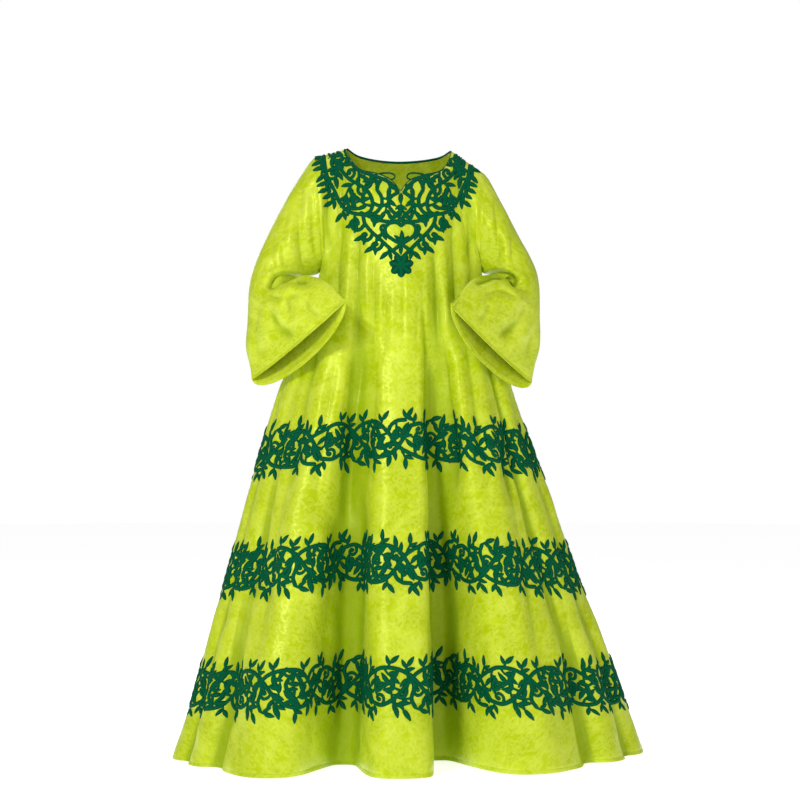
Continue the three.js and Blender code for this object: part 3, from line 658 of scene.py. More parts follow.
SKIRT_WAVES = (
    {"length": 0.23, "lean": 8, "height": 0.0022, "shift": 0.4},
    {"length": 0.15, "lean": -14, "height": 0.0014, "shift": 2.1},
    {"length": 0.094, "lean": 24, "height": 0.0008, "shift": 4.0},
    {"length": 0.31, "lean": 62, "height": 0.0012, "shift": 5.2},
)
FRONT_CREASES = (
    {"line": ((-0.172, -0.09), (-0.174, -0.18), (-0.170, -0.27)), "width": 0.009, "depth": 0.012},
    {"line": ((0.150, -0.12), (0.154, -0.20), (0.156, -0.28)), "width": 0.009, "depth": 0.011},
    {"line": ((-0.148, -0.17), (-0.152, -0.28), (-0.150, -0.44)), "width": 0.011, "depth": 0.013},
    {"line": ((-0.104, -0.21), (-0.106, -0.31), (-0.101, -0.46)), "width": 0.011, "depth": 0.010},
    {"line": ((-0.070, -0.27), (-0.068, -0.33), (-0.066, -0.42)), "width": 0.008, "depth": 0.004},
    {"line": ((0.072, -0.24), (0.077, -0.33), (0.078, -0.46)), "width": 0.011, "depth": 0.011},
    {"line": ((0.118, -0.18), (0.124, -0.30), (0.131, -0.46)), "width": 0.013, "depth": 0.013},
    {"line": ((0.160, -0.20), (0.158, -0.29), (0.156, -0.40)), "width": 0.009, "depth": 0.006},
    {"line": ((-0.040, -0.344), (-0.043, -0.40), (-0.046, -0.50)), "width": 0.009, "depth": 0.006},
    {"line": ((0.036, -0.36), (0.033, -0.42), (0.031, -0.50)), "width": 0.009, "depth": 0.005},
    {"line": ((-0.092, -0.46), (-0.112, -0.66), (-0.128, -0.90)), "width": 0.016, "depth": 0.016},
    {"line": ((-0.062, -0.48), (-0.069, -0.62), (-0.078, -0.80)), "width": 0.008, "depth": 0.007},
    {"line": ((0.090, -0.46), (0.104, -0.62), (0.118, -0.82)), "width": 0.015, "depth": 0.015},
    {"line": ((0.064, -0.50), (0.070, -0.66), (0.079, -0.86)), "width": 0.008, "depth": 0.007},
    {"line": ((0.145, -0.46), (0.168, -0.62), (0.190, -0.80)), "width": 0.011, "depth": 0.009},
    {"line": ((0.190, -0.44), (0.226, -0.64), (0.262, -0.86)), "width": 0.014, "depth": 0.013},
    {"line": ((-0.196, -0.44), (-0.228, -0.60), (-0.262, -0.82)), "width": 0.015, "depth": 0.013},
    {"line": ((-0.150, -0.50), (-0.176, -0.66), (-0.196, -0.86)), "width": 0.010, "depth": 0.007},
    {"line": ((-0.245, -0.66), (-0.290, -0.92), (-0.335, -1.22)), "width": 0.015, "depth": 0.011},
    {"line": ((0.232, -0.70), (0.276, -0.96), (0.318, -1.24)), "width": 0.016, "depth": 0.011},
    {"line": ((-0.145, -0.84), (-0.166, -1.02), (-0.176, -1.24)), "width": 0.013, "depth": 0.008},
    {"line": ((0.345, -0.95), (0.382, -1.12), (0.425, -1.32)), "width": 0.015, "depth": 0.009},
    {"line": ((-0.355, -0.98), (-0.385, -1.14), (-0.415, -1.32)), "width": 0.014, "depth": 0.008},
    {"line": ((-0.010, -0.74), (-0.018, -0.94), (-0.012, -1.16)), "width": 0.020, "depth": 0.004},
    {"line": ((0.002, -0.32), (0.000, -0.395), (0.002, -0.475)), "width": 0.0035, "depth": 0.0022},
)
BACK_CREASES = (
    {"line": ((-0.140, -0.19), (-0.146, -0.31), (-0.152, -0.44)), "width": 0.012, "depth": 0.010},
    {"line": ((-0.060, -0.26), (-0.066, -0.38), (-0.080, -0.52)), "width": 0.011, "depth": 0.009},
    {"line": ((0.020, -0.30), (0.018, -0.42), (0.026, -0.56)), "width": 0.012, "depth": 0.008},
    {"line": ((0.096, -0.22), (0.098, -0.34), (0.104, -0.47)), "width": 0.011, "depth": 0.011},
    {"line": ((0.150, -0.20), (0.156, -0.34), (0.168, -0.48)), "width": 0.012, "depth": 0.009},
    {"line": ((-0.130, -0.50), (-0.158, -0.66), (-0.186, -0.84)), "width": 0.013, "depth": 0.012},
    {"line": ((0.118, -0.50), (0.140, -0.64), (0.158, -0.80)), "width": 0.012, "depth": 0.010},
    {"line": ((0.200, -0.52), (0.240, -0.74), (0.276, -0.98)), "width": 0.014, "depth": 0.011},
    {"line": ((-0.240, -0.58), (-0.282, -0.80), (-0.318, -1.06)), "width": 0.014, "depth": 0.009},
    {"line": ((0.010, -0.72), (0.004, -0.92), (0.012, -1.16)), "width": 0.017, "depth": 0.008},
)
SEAM = {"reach": 0.0045, "depth": 0.0014, "pucker": 0.0007, "spacing": 0.021}
HEM_STITCH = {"up": 0.0085, "reach": 0.0024, "depth": 0.0007, "pucker": 0.0005, "spacing": 0.017}
UNDERARM_SOFT = {"rows": 16, "rounds": 60}
# Where creases and unevenness fade out: near the hem, the side seams and the panel's top
CALM = {"hem": 0.012, "side_share": 0.03, "top_from": 0.10, "top_fade": 0.08}


def hem_dip(flat):
    """The hem is drawn in along its stitches, with small uneven puckers."""
    near = np.exp(-((flat[..., 1] - HEM_STITCH["up"]) / HEM_STITCH["reach"]) ** 2)
    along = flat[..., 0]
    puckers = np.sin(tau * along / HEM_STITCH["spacing"] + 2 * np.sin(along * 23))
    return near * (HEM_STITCH["depth"] + HEM_STITCH["pucker"] * puckers)


def seam_dip(grid):
    """The cloth rolls in at a seam, with small uneven puckers along it."""
    dip = np.zeros(grid.shape[:2])
    for order in (1, -1):
        run = grid[:, ::order]
        steps = np.linalg.norm(np.diff(run, axis=1), axis=-1)
        away = np.concatenate([np.zeros((len(grid), 1)), np.cumsum(steps, axis=1)], 1)
        rises = np.linalg.norm(np.diff(run[:, 0], axis=0), axis=1)
        along = np.concatenate([[0], np.cumsum(rises)])[:, None]
        near = np.exp(-(away / SEAM["reach"]) ** 2)
        wide = np.exp(-(away / (4 * SEAM["reach"])) ** 2)
        puckers = np.sin(tau * along / SEAM["spacing"] + 1.7 * np.sin(along * 31)) * wide
        dip += (SEAM["depth"] * near + SEAM["pucker"] * puckers * (1 - near))[:, ::order]
    return dip


def soften_underarm(grid, side):
    """Rounds the cloth over the line of the underarm, away from the side seams."""
    rows = grid.shape[0]
    start = side["skirt_rows"]
    smooth = grid.copy()
    for _ in range(UNDERARM_SOFT["rounds"]):
        smooth[1:-1] = (smooth[:-2] + 2 * smooth[1:-1] + smooth[2:]) / 4
    share = np.exp(-((np.arange(rows) - start) / UNDERARM_SOFT["rows"]) ** 2)[:, None, None]
    across = np.linspace(0, 1, grid.shape[1])[None, :, None]
    share = share * smoothstep(np.minimum(across, 1 - across) / 0.05)
    return grid * (1 - share) + smooth * share


def body_panel(side, creases):
    """The finished outer surface of a panel, with its creases, unevenness and seams."""
    grid = soften_underarm(body_grid(side), side)
    normals = grid_normals(grid)
    flat = flat_places(grid)
    facing = smoothstep(side["face"] * normals[..., 1] / 0.5)
    hem_fade = 1 - smoothstep(1 - flat[..., 1] / CALM["hem"]) * 0.3
    inwards = crease_depth(grid, creases) * facing
    waves = ripple(flat, SKIRT_WAVES) * smoothstep(flat[..., 1] / 0.02 + 0.4)
    edge = np.linspace(0, 1, grid.shape[1])[None, :]
    calm = smoothstep(np.minimum(edge, 1 - edge) / CALM["side_share"])
    from_top = flat[-1, 0, 1] - flat[..., 1]
    upper = 1 - smoothstep((CALM["top_from"] - from_top) / CALM["top_fade"])
    inwards = (inwards + waves * hem_fade) * calm * (0.15 + 0.85 * upper) + seam_dip(grid)
    grid = grid - normals * (inwards + hem_dip(flat))[..., None]
    return {"grid": grid, "flat": flat_places(grid), "normals": grid_normals(grid), "side": side,
            "levels": skirt_levels(side)}


front_panel = body_panel(FRONT, FRONT_CREASES)
back_panel = body_panel(BACK, BACK_CREASES)
front = cloth_piece("kaftan_front", front_panel["grid"], front_panel["flat"])
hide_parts("front")
back = cloth_piece("kaftan_back", back_panel["grid"], back_panel["flat"])
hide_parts("back")


# The sleeves
# Two wide bell sleeves of the same cloth, each a tube sewn in at the armhole. They are bent
# at the elbow, where the cloth breaks into a V, and they fall open at the cuff.
SLEEVE_MESH = {"around": 140, "along": 132}
SLEEVE_SEAM = {"inner_length": 0.32, "mean_radius": 0.09}
SLEEVE_WAVES = (
    {"length": 0.21, "lean": 78, "height": 0.0022, "shift": 1.1},
    {"length": 0.12, "lean": 60, "height": 0.0014, "shift": 3.4},
    {"length": 0.17, "lean": 12, "height": 0.0016, "shift": 0.2},
)
LEFT_CREASES = (
    {"line": ((-0.318, -0.334), (-0.276, -0.314), (-0.212, -0.330)), "width": 0.010, "depth": 0.019},
    {"line": ((-0.316, -0.350), (-0.282, -0.362), (-0.236, -0.352)), "width": 0.007, "depth": 0.006},
    {"line": ((-0.238, -0.08), (-0.240, -0.18), (-0.228, -0.30)), "width": 0.012, "depth": 0.013},
    {"line": ((-0.210, -0.07), (-0.208, -0.16), (-0.202, -0.27)), "width": 0.010, "depth": 0.013},
    {"line": ((-0.300, -0.20), (-0.306, -0.26), (-0.290, -0.32)), "width": 0.010, "depth": 0.007},
    {"line": ((-0.262, -0.13), (-0.280, -0.22), (-0.272, -0.30)), "width": 0.015, "depth": 0.008},
    {"line": ((-0.318, -0.37), (-0.292, -0.42), (-0.252, -0.455)), "width": 0.014, "depth": 0.010},
    {"line": ((-0.268, -0.36), (-0.262, -0.39), (-0.262, -0.42)), "width": 0.010, "depth": 0.006},
    {"line": ((-0.338, -0.36), (-0.342, -0.43), (-0.336, -0.50)), "width": 0.014, "depth": 0.007},
    {"line": ((-0.222, -0.36), (-0.214, -0.39), (-0.190, -0.41)), "width": 0.009, "depth": 0.005},
)
RIGHT_CREASES = (
    {"line": ((0.164, -0.336), (0.216, -0.308), (0.288, -0.342)), "width": 0.010, "depth": 0.019},
    {"line": ((0.184, -0.358), (0.226, -0.346), (0.262, -0.358)), "width": 0.008, "depth": 0.007},
    {"line": ((0.212, -0.12), (0.218, -0.20), (0.214, -0.29)), "width": 0.012, "depth": 0.013},
    {"line": ((0.236, -0.16), (0.252, -0.23), (0.258, -0.30)), "width": 0.014, "depth": 0.008},
    {"line": ((0.190, -0.10), (0.190, -0.19), (0.188, -0.27)), "width": 0.010, "depth": 0.012},
    {"line": ((0.288, -0.37), (0.262, -0.42), (0.220, -0.455)), "width": 0.014, "depth": 0.010},
    {"line": ((0.300, -0.38), (0.298, -0.44), (0.290, -0.50)), "width": 0.014, "depth": 0.007},
    {"line": ((0.196, -0.37), (0.190, -0.40), (0.170, -0.42)), "width": 0.009, "depth": 0.005},
)


def sleeve_piece(name, sleeve, halves, creases, node):
    """A sleeve's finished surface and its piece of cloth."""
    grid = sleeve_grid(sleeve, *halves, SLEEVE_MESH["around"], SLEEVE_MESH["along"])
    normals = grid_normals(grid, closed=True)
    flat = flat_places(grid)
    share = np.linspace(0, 1, len(grid))[:, None]
    front_half = smoothstep(-normals[..., 1] / 0.4)
    back_half = smoothstep(normals[..., 1] / 0.4)
    depth = crease_depth(grid, creases)
    across = SLEEVE_SEAM["mean_radius"] * np.cos(np.linspace(0, tau, grid.shape[1]))
    waves = ripple(np.stack([np.broadcast_to(across, flat[..., 1].shape), flat[..., 1]], -1), SLEEVE_WAVES)
    calm = smoothstep(share / 0.03 + 0.3) * smoothstep((1 - share) / 0.1)
    inwards = (depth * (front_half + 0.8 * back_half) + waves) * calm
    along = np.linspace(0, tau, grid.shape[1])[None, :]
    from_seam = (1 - share) * SLEEVE_SEAM["inner_length"] / SEAM["reach"]
    near = np.exp(-from_seam ** 2)
    wide = np.exp(-(from_seam / 5) ** 2)
    puckers = 1.4 * SEAM["pucker"] * np.sin(26 * along + 2 * np.sin(3 * along))
    inwards = inwards + SEAM["depth"] * near + puckers * wide * (1 - near)
    grid = grid - normals * (inwards + hem_dip(flat))[..., None]
    flat = flat_places(grid)
    piece = cloth_piece(name, grid, flat, closed=True)
    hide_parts(node)
    return {"grid": grid, "flat": flat, "normals": grid_normals(grid, closed=True), "piece": piece}


sleeve_left = sleeve_piece("kaftan_sleeve_left", SLEEVE_LEFT, ("front", "back"), LEFT_CREASES, "sleeve_left")
sleeve_right = sleeve_piece("kaftan_sleeve_right", SLEEVE_RIGHT, ("back", "front"), RIGHT_CREASES,
                            "sleeve_right")

# The drawing of the cutwork
# Leaves, twigs, stems and curls, drawn flat in millimetres. Each stroke is a path and its half
# width at each point of it. One length of the skirt's border repeats round the hem, and the
# yoke is drawn as one side, out from the middle and down from the neck points.
CHART = 0.001
LEAF_RINGS = np.array([0, 0.14, 0.34, 0.58, 0.82, 1])
LOOP_POINTS = 19
FULL = ((0.3, 46, 24, 11), (0.5, -44, 27, 12), (1.0, 0, 27, 12))
PAIR = ((0.45, -46, 25, 11), (0.7, 44, 25, 11), (1.0, 0, 26, 12))
TIP = ((0.6, -50, 20, 10), (1.0, 8, 23, 11.5))
BORDER = {
    "repeat": 260,
    "height": 0.95,
    "stem": 9.5,
    "stems": (
        ((0, -33), (26, -44), (62, -41), (94, -22), (120, 6), (150, 32), (186, 41), (218, 30),
         (241, 0), (260, -33)),
        ((0, 34), (27, 39), (56, 22), (80, -6), (106, -34), (142, -45), (180, -42), (208, -18),
         (232, 16), (260, 34)),
        ((62, -41), (52, -20), (36, -6), (16, 4)),
        ((186, 41), (172, 20), (156, 4), (150, -14), (158, -30)),
        ((94, -22), (96, 2), (90, 26), (98, 44)),
        ((208, -18), (214, -34), (228, -45), (247, -47)),
    ),
    # foot, heading, length, turn, width
    "curls": (
        (27, 39, -62, 48, -330, 7.5),
        (120, 6, 118, 44, 300, 7.5),
        (142, -45, 75, 40, -300, 7),
        (218, 30, 190, 46, 320, 7.5),
        (241, 0, -120, 34, 260, 6.5),
        (36, -6, 215, 30, -240, 6.5),
    ),
    # foot, heading, length, bend, width, leaves
    "sprigs": (
        (14, -41, 118, 34, -40, 7, PAIR),
        (40, -45, -70, 12, 20, 6.5, TIP),
        (80, -33, 70, 36, 45, 7, FULL),
        (108, -6, -28, 34, -30, 7, FULL),
        (135, 22, 96, 20, -30, 7, TIP),
        (150, 32, -14, 38, -34, 7, FULL),
        (172, 42, 60, 12, 20, 6.5, TIP),
        (200, 40, -84, 40, 40, 7, PAIR),
        (232, 14, 150, 30, -50, 6.5, PAIR),
        (250, -14, 24, 26, 40, 7, TIP),
        (10, 36, 112, 12, 20, 6.5, TIP),
        (45, 31, 20, 34, 40, 7, FULL),
        (70, 8, 200, 34, 35, 7, PAIR),
        (116, -40, -60, 12, -20, 6.5, TIP),
        (160, -45, 40, 34, 30, 7, FULL),
        (190, -36, -78, 14, 16, 6.5, TIP),
        (222, 0, -30, 26, -30, 6.5, PAIR),
        (78, -37, -74, 12, 10, 6.5, TIP),
        (98, 44, 40, 14, -30, 6.5, TIP),
        (246, -46, -50, 12, -16, 6, TIP),
        (120, 6, 60, 24, 20, 6.5, PAIR),
        (56, 22, 96, 22, -24, 6.5, TIP),
        (206, -16, 160, 26, 30, 6.5, PAIR),
        (240, 28, 60, 18, 20, 6.5, TIP),
        (32, -43, 62, 24, -30, 6.5, TIP),
        (50, 26, -104, 20, 20, 6.5, TIP),
        (90, 24, 172, 16, 20, 6.5, TIP),
        (144, 28, -116, 24, 20, 6.5, TIP),
        (178, 28, -158, 18, 20, 6, TIP),
        (208, 32, -112, 22, -20, 6, TIP),
        (226, -44, 84, 20, 20, 6.5, TIP),
        (150, -10, 50, 16, 10, 6, TIP),
        (118, -38, 74, 20, -16, 6, TIP),
        (66, -40, 12, 20, 30, 6, TIP),
    ),
}
YOKE = {
    "stem": 9,
    "stems": (
        ((132, -7), (122, -32), (103, -58), (84, -68), (60, -78), (34, -90), (18, -103), (8, -119)),
        ((182, -14), (178, -48), (171, -78), (157, -104), (144, -134), (124, -157), (102, -166),
         (82, -168)),
        ((160, -10), (154, -38), (138, -60), (120, -82), (96, -98), (76, -116), (66, -140),
         (70, -160), (82, -168)),
        ((46, -86), (56, -108), (45, -130), (46, -150), (60, -166), (82, -168)),
        ((8, -119), (24, -130), (30, -146), (21, -162), (8, -173), (0, -184)),
        ((66, -142), (48, -150), (30, -146)),
        ((0, -184), (24, -187), (50, -183), (72, -174), (92, -164)),
        ((88, -168), (84, -188), (70, -207), (52, -224), (34, -241), (17, -257), (0, -272)),
        ((0, -196), (10, -189), (26, -190), (37, -201), (34, -216), (18, -229), (0, -239), (-20, -253)),
    ),
    "curls": (
        (120, -82, 150, 44, -300, 8),
        (171, -78, 196, 42, -300, 8),
        (96, -98, -64, 44, -280, 8),
        (154, -38, 200, 36, 290, 8),
        (144, -134, 128, 40, 300, 8),
        (72, -74, -112, 34, 280, 7.5),
        (84, -190, -60, 54, 300, 9),
        (66, -211, -78, 50, 300, 9),
        (42, -234, -76, 50, 310, 9),
        (36, -212, 20, 32, 270, 7.5),
        (50, -183, -30, 30, 250, 7.5),
    ),
    "sprigs": (
        (180, -34, -14, 7, -20, 7, TIP),
        (174, -66, -34, 8, -20, 7, TIP),
        (160, -98, -24, 12, -10, 7, TIP),
        (149, -126, -30, 12, -10, 7, TIP),
        (130, -152, -50, 12, -10, 7, TIP),
        (106, -166, -78, 12, 10, 7, TIP),
        (181, -22, 4, 5, -20, 7, TIP),
        (177, -50, -8, 6, -20, 7, TIP),
        (166, -86, -12, 8, -20, 7, TIP),
        (154, -112, -18, 8, -20, 7, TIP),
        (170, -16, -120, 22, -30, 7, PAIR),
        (148, -46, -64, 30, -36, 7, FULL),
        (138, -60, 96, 22, 40, 7, PAIR),
        (124, -157, 128, 34, 40, 7, FULL),
        (108, -90, -44, 34, -30, 7, FULL),
        (84, -106, 106, 20, 30, 7, TIP),
        (98, -60, -84, 18, -10, 7, TIP),
        (56, -80, -64, 20, 30, 7, PAIR),
        (72, -148, 16, 24, 30, 7, PAIR),
        (44, -132, 190, 14, 20, 6.5, TIP),
        (34, -150, -84, 14, 20, 6.5, TIP),
        (124, -30, 10, 14, 30, 6.5, TIP),
        (112, -120, -56, 24, -30, 7, PAIR),
        (30, -94, -110, 14, 20, 6.5, TIP),
        (100, -188, -30, 5, 10, 8, TIP),
        (82, -216, -40, 5, 10, 8, TIP),
        (60, -240, -52, 5, 10, 8, TIP),
        (27, -250, -70, 8, 20, 7.5, TIP),
        (44, -205, -84, 10, 20, 7, TIP),
        (60, -166, -100, 8, 10, 7, TIP),
        (22, -186, 110, 6, 10, 7, TIP),
    ),
}
# The yoke's leaves on the middle line, each by foot, heading, length and width, and the round
# petals of the flower at its point
YOKE_MIDDLE = (
    (-122, -90, 22, 12), (-148, -90, 24, 13), (-150, -34, 15, 9), (-150, -146, 15, 9),
    (-236, 90, 27, 12), (-234, 42, 21, 10), (-234, 138, 21, 10), (-244, -90, 18, 10),
)
YOKE_FLOWER = {"centre": -288, "petals": 7, "length": 28, "width": 19}
# Cord loops that close the neck, one on each side of the slit: foot, heading, length and width
LOOPS = ((60, -73, 188, 46, 15), (13, -114, 78, 15, 7))


def walk(at, headings, steps):
    """A path from a point, by its heading at each step."""
    moves = np.stack([np.cos(headings), np.sin(headings)], -1) * steps[:, None]
    return np.asarray(at, float) + np.vstack([[0, 0], np.cumsum(moves, axis=0)])


def stem(points, wide):
    count = max(5, int(np.linalg.norm(np.diff(points, axis=0), axis=1).sum() / 6))
    return spline(points, np.linspace(0, 1, count)), np.full(count, wide / 2)


def leaf(at, lean, length, wide, bend=20):
    """An oval leaf with a blunt tip from its foot, with its widest part near the middle."""
    share = LEAF_RINGS
    headings = np.radians(lean + bend * (share[:-1] - 0.5))
    half = wide / 2 * np.sin(pi * (0.12 + 0.78 * share ** 0.85)) ** 0.8
    return walk(at, headings, np.diff(share) * length), half


def curl(at, lean, length, turn, wide):
    """A stroke that winds inwards and ends in a round knob."""
    share = np.linspace(0, 1, 13)
    headings = np.radians(lean + turn * share[:-1] ** 1.3)
    steps = 1.35 - 0.9 * share[:-1]
    knob = np.exp(-((share - 1) / 0.12) ** 2)
    return walk(at, headings, steps / steps.sum() * length), wide / 2 * (1 + 0.45 * knob)


def lobe(at, lean, length, wide):
    """A drop with a narrow foot and a broad round end."""
    share = np.linspace(0, 1, 5)
    path = walk(at, np.full(4, radians(lean)), np.diff(share) * (length - wide / 2))
    return path, wide / 2 * (0.4 + 0.6 * np.sin(pi / 2 * share))


def loop(at, lean, length, wide, cord):
    """A cord that runs out from its foot and back to it in a long drop."""
    turn = np.linspace(0, tau, LOOP_POINTS)
    ahead = length * (1 - np.cos(turn)) / 2
    aside = wide / 2 * np.sin(turn) * (0.35 + 0.65 * np.sin(turn / 2) ** 2) * 1.4
    way = np.array([cos(radians(lean)), sin(radians(lean))])
    path = np.asarray(at, float) + ahead[:, None] * way + aside[:, None] * (-way[1], way[0])
    return path, np.full(LOOP_POINTS, cord / 2)


def sprig(at, lean, length, bend, wide, leaves):
    """A bent twig with leaves, each a share along it, its lean to the twig, length and width."""
    share = np.linspace(0, 1, max(4, int(length / 6)))
    path = walk(at, np.radians(lean + bend * share[:-1]), np.diff(share) * length)
    strokes = [(path, wide / 2 * (1 - 0.35 * share))]
    for place, side, long, broad in leaves:
        k = int(round(place * (len(share) - 1)))
        strokes.append(leaf(path[k], lean + bend * share[k] + side, long, broad, -0.5 * side if side else 12))
    return strokes


def drawn(chart):
    """All the strokes of a chart, in metres."""
    strokes = [stem(points, chart["stem"]) for points in chart["stems"]]
    for x, y, *curve in chart["curls"]:
        strokes.append(curl((x, y), *curve))
    for x, y, *twig in chart["sprigs"]:
        strokes += sprig((x, y), *twig)
    return [(path * CHART, half * CHART) for path, half in strokes]


# The relief of the cutwork
# Each stroke is a soft padded bar with round ends, set into the cloth by less than half a
# millimetre. Its threads run slantwise across it, by a UV map of its length and its width.
BAR = {"rise": 0.0034, "full_at": 0.0032, "sunk": 0.0004, "apart": 0.00004}
BAR_PROFILE = np.array([(-1, 0), (-0.88, 0.6), (0, 1), (0.88, 0.6), (1, 0)])
GREEN_TOP = (0.0004, 0.106, 0.042, 1)
# The second green is painted shade at the sides of each bar, and also a darker tone that comes and goes at
# random
GREEN_PAINTED_SHADE_AND_MOTTLE = (0.0003, 0.052, 0.021, 1)


def green_thread():
    material, start, shader = new_material("green_thread")
    tree = material.node_tree
    place = start.make("UVMap", uv_map="thread")
    along = start.make("SeparateXYZ", 0, inputs={0: place})
    across = start.make("SeparateXYZ", 1, inputs={0: place})
    slant = start.make("CombineXYZ", inputs={0: along + across * 0.6, 1: across * 0.2})
    wander = start.make("TexNoise", 0, noise_dimensions="2D",
                        inputs={"Vector": place, "Scale": 420, "Detail": 1})
    threads = start.make("TexWave", 1, wave_type="BANDS", bands_direction="X",
                         inputs={"Vector": slant, "Scale": 480, "Distortion": 0})
    # Painted shade: each bar's colour darkens towards its two sides, and it also darkens at random in soft
    # patches
    edge = start.math("ABSOLUTE", across).between(0.0022, 0.0046)
    painted_edge_shade_and_mottle = edge * 0.55 + wander.between(0.3, 0.75) * 0.3
    tree.links.new(painted_edge_shade_and_mottle.mix(GREEN_TOP, GREEN_PAINTED_SHADE_AND_MOTTLE).socket, shader.inputs["Base Color"])
    bump = start.make("Bump", inputs={"Strength": 0.35, "Distance": 0.0004, "Height": threads + wander * 0.5})
    tree.links.new(bump.socket, shader.inputs["Normal"])
    shader.inputs["Roughness"].default_value = 0.7
    shader.inputs["Specular IOR Level"].default_value = 0.05
    return material


green = green_thread()


def round_ends(path, half):
    """Adds two rings to each broad end of a stroke, so that it ends round."""
    for _ in range(2):
        path, half = path[::-1], half[::-1]
        if half[-1] > 0.0012:
            ahead = path[-1] - path[-2]
            ahead /= np.linalg.norm(ahead)
            path = np.vstack([path, path[-1] + ahead * half[-1] * 0.6, path[-1] + ahead * half[-1]])
            half = np.append(half, (half[-1] * 0.75, half[-1] * 0.25))
    return path, half


def relief(strokes):
    """Strokes as closed bars: flat places, heights over the cloth, faces and thread places."""
    places, heights, threads, faces = [], [], [], []
    width = len(BAR_PROFILE)
    start = 0
    for number, (path, half) in enumerate(strokes):
        path, half = round_ends(path, half)
        ahead = np.gradient(path, axis=0)
        ahead /= np.linalg.norm(ahead, axis=1, keepdims=True)
        side = np.stack([-ahead[:, 1], ahead[:, 0]], -1)
        reach = half[:, None] * BAR_PROFILE[:, 0]
        top = BAR["rise"] * np.tanh(half / BAR["full_at"]) + BAR["sunk"] + BAR["apart"] * (number % 7)
        run = np.concatenate([[0], np.cumsum(np.linalg.norm(np.diff(path, axis=0), axis=1))])
        places.append((path[:, None] + side[:, None] * reach[..., None]).reshape(-1, 2))
        heights.append((top[:, None] * BAR_PROFILE[:, 1] - BAR["sunk"]).ravel())
        threads.append(np.stack([np.broadcast_to(run[:, None], reach.shape), reach], -1).reshape(-1, 2))
        for ring in range(start, start + width * (len(path) - 1), width):
            for k in range(width):
                after = (k + 1) % width
                faces.append((ring + k, ring + width + k, ring + width + after, ring + after))
        last = start + width * (len(path) - 1)
        faces.append(tuple(range(start, start + width)))
        faces.append(tuple(range(last + width - 1, last - 1, -1)))
        start = last + width
    return np.vstack(places), np.concatenate(heights), np.vstack(threads), faces


def small_piece(name, points, faces, threads, material, slot):
    """A closed piece from its own points and faces, smooth but for its sharp edges."""
    mesh = bpy.data.meshes.new(name)
    mesh.from_pydata(points.tolist(), [], faces)
    vertex = np.empty(len(mesh.loops), int)
    mesh.loops.foreach_get("vertex_index", vertex)
    mesh.uv_layers.new(name="thread").data.foreach_set("uv", threads[vertex].ravel())
    mesh.materials.append(material)
    piece = bpy.data.objects.new(name, mesh)
    bpy.context.collection.objects.link(piece)
    bpy.ops.object.select_all(action="DESELECT")
    piece.select_set(True)
    bpy.context.view_layer.objects.active = piece
    bpy.ops.object.shade_smooth_by_angle(angle=radians(72))
    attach(piece, "root")
    return piece


def laid_on(name, strokes, place_on, material, slot="applique"):
    """One piece of cutwork or stitching, its strokes laid on the cloth by a placing function."""
    places, heights, threads, faces = relief(strokes)
    points, normals = place_on(places)
    return small_piece(name, points + normals * heights[:, None], faces, threads, material, slot)


# The skirt's borders
# Three bands of cutwork go round the skirt. Each is drawn on the front and on the back from
# side seam to side seam, as whole repeats that turn over one by one.


def on_panel(panel, column, row):
    """Points and outward directions at fractions of a panel's columns and rows."""
    last_row, last_column = panel["grid"].shape[0] - 2, panel["grid"].shape[1] - 2
    c = np.clip(column.astype(int), 0, last_column)
    r = np.clip(row.astype(int), 0, last_row)
    p = (column - c)[:, None]
    q = (row - r)[:, None]
    found = []
    for values in (panel["grid"], panel["normals"]):
        low = values[r, c] * (1 - p) + values[r, c + 1] * p
        high = values[r + 1, c] * (1 - p) + values[r + 1, c + 1] * p
        found.append(low * (1 - q) + high * q)
    return found[0], found[1] / np.linalg.norm(found[1], axis=1, keepdims=True)


def border_strokes(length):
    """The border's strokes for a length of cloth, cut off at its two ends."""
    strokes = drawn(BORDER)
    count = round(length / (BORDER["repeat"] * CHART))
    repeat = length / count
    wider = repeat / (BORDER["repeat"] * CHART)
    found = []
    for k in range(count):
        for path, half in strokes:
            x = k * repeat + path[:, 0] * wider
            y = path[:, 1] * BORDER["height"] * (-1 if k % 2 else 1)
            inside = (x > 0) & (x < length)
            if inside.sum() > 2:
                found.append((np.stack([x, y], -1)[inside], half[inside]))
    return found


def border(name, panel, centre):
    levels = panel["levels"]
    middle = int(round(np.interp(centre, levels, np.arange(len(levels)))))
    steps = np.linalg.norm(np.diff(panel["grid"][middle], axis=0), axis=1)
    lengths = np.concatenate([[0], np.cumsum(steps)])

    def place_on(places):
        column = np.interp(places[:, 0], lengths, np.arange(len(lengths)))
        row = np.interp(centre + places[:, 1], levels, np.arange(len(levels)))
        return on_panel(panel, column, row)

    piece = laid_on(f"{name}_cutwork", border_strokes(lengths[-1]), place_on, green)
    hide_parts(name)
    return piece


borders = {"front": [], "back": []}
for height, centre in BAND["centres"].items():
    for panel in (front_panel, back_panel):
        side = panel["side"]["name"]
        borders[side].append(border(f"band_{height}_{side}", panel, centre))

# The yoke
# A heart of cutwork lies over the chest and round the neck to the shoulder seams, with a
# flower at its point. The worn garment turns a little, so its right half looks narrower.
YOKE_PLACE = {"middle": -0.004, "right": 0.9}
LOOP_CORD = 3.6


def front_surface():
    """The front and the sleeves as one surface to lay things on, with smooth directions."""
    points, normals, quads = [], [], []
    start = 0
    for part in (front_panel, sleeve_left, sleeve_right):
        rows, columns = part["grid"].shape[:2]
        index = np.arange(rows * columns).reshape(rows, columns) + start
        corners = (index[:-1, :-1], index[:-1, 1:], index[1:, 1:], index[1:, :-1])
        quads += np.stack(corners, -1).reshape(-1, 4).tolist()
        points.append(part["grid"].reshape(-1, 3))
        normals.append(part["normals"].reshape(-1, 3))
        start += rows * columns
    points = np.vstack(points)
    return points, np.vstack(normals), quads, BVHTree.FromPolygons(points.tolist(), quads)


chest_points, chest_normals, chest_quads, chest_tree = front_surface()


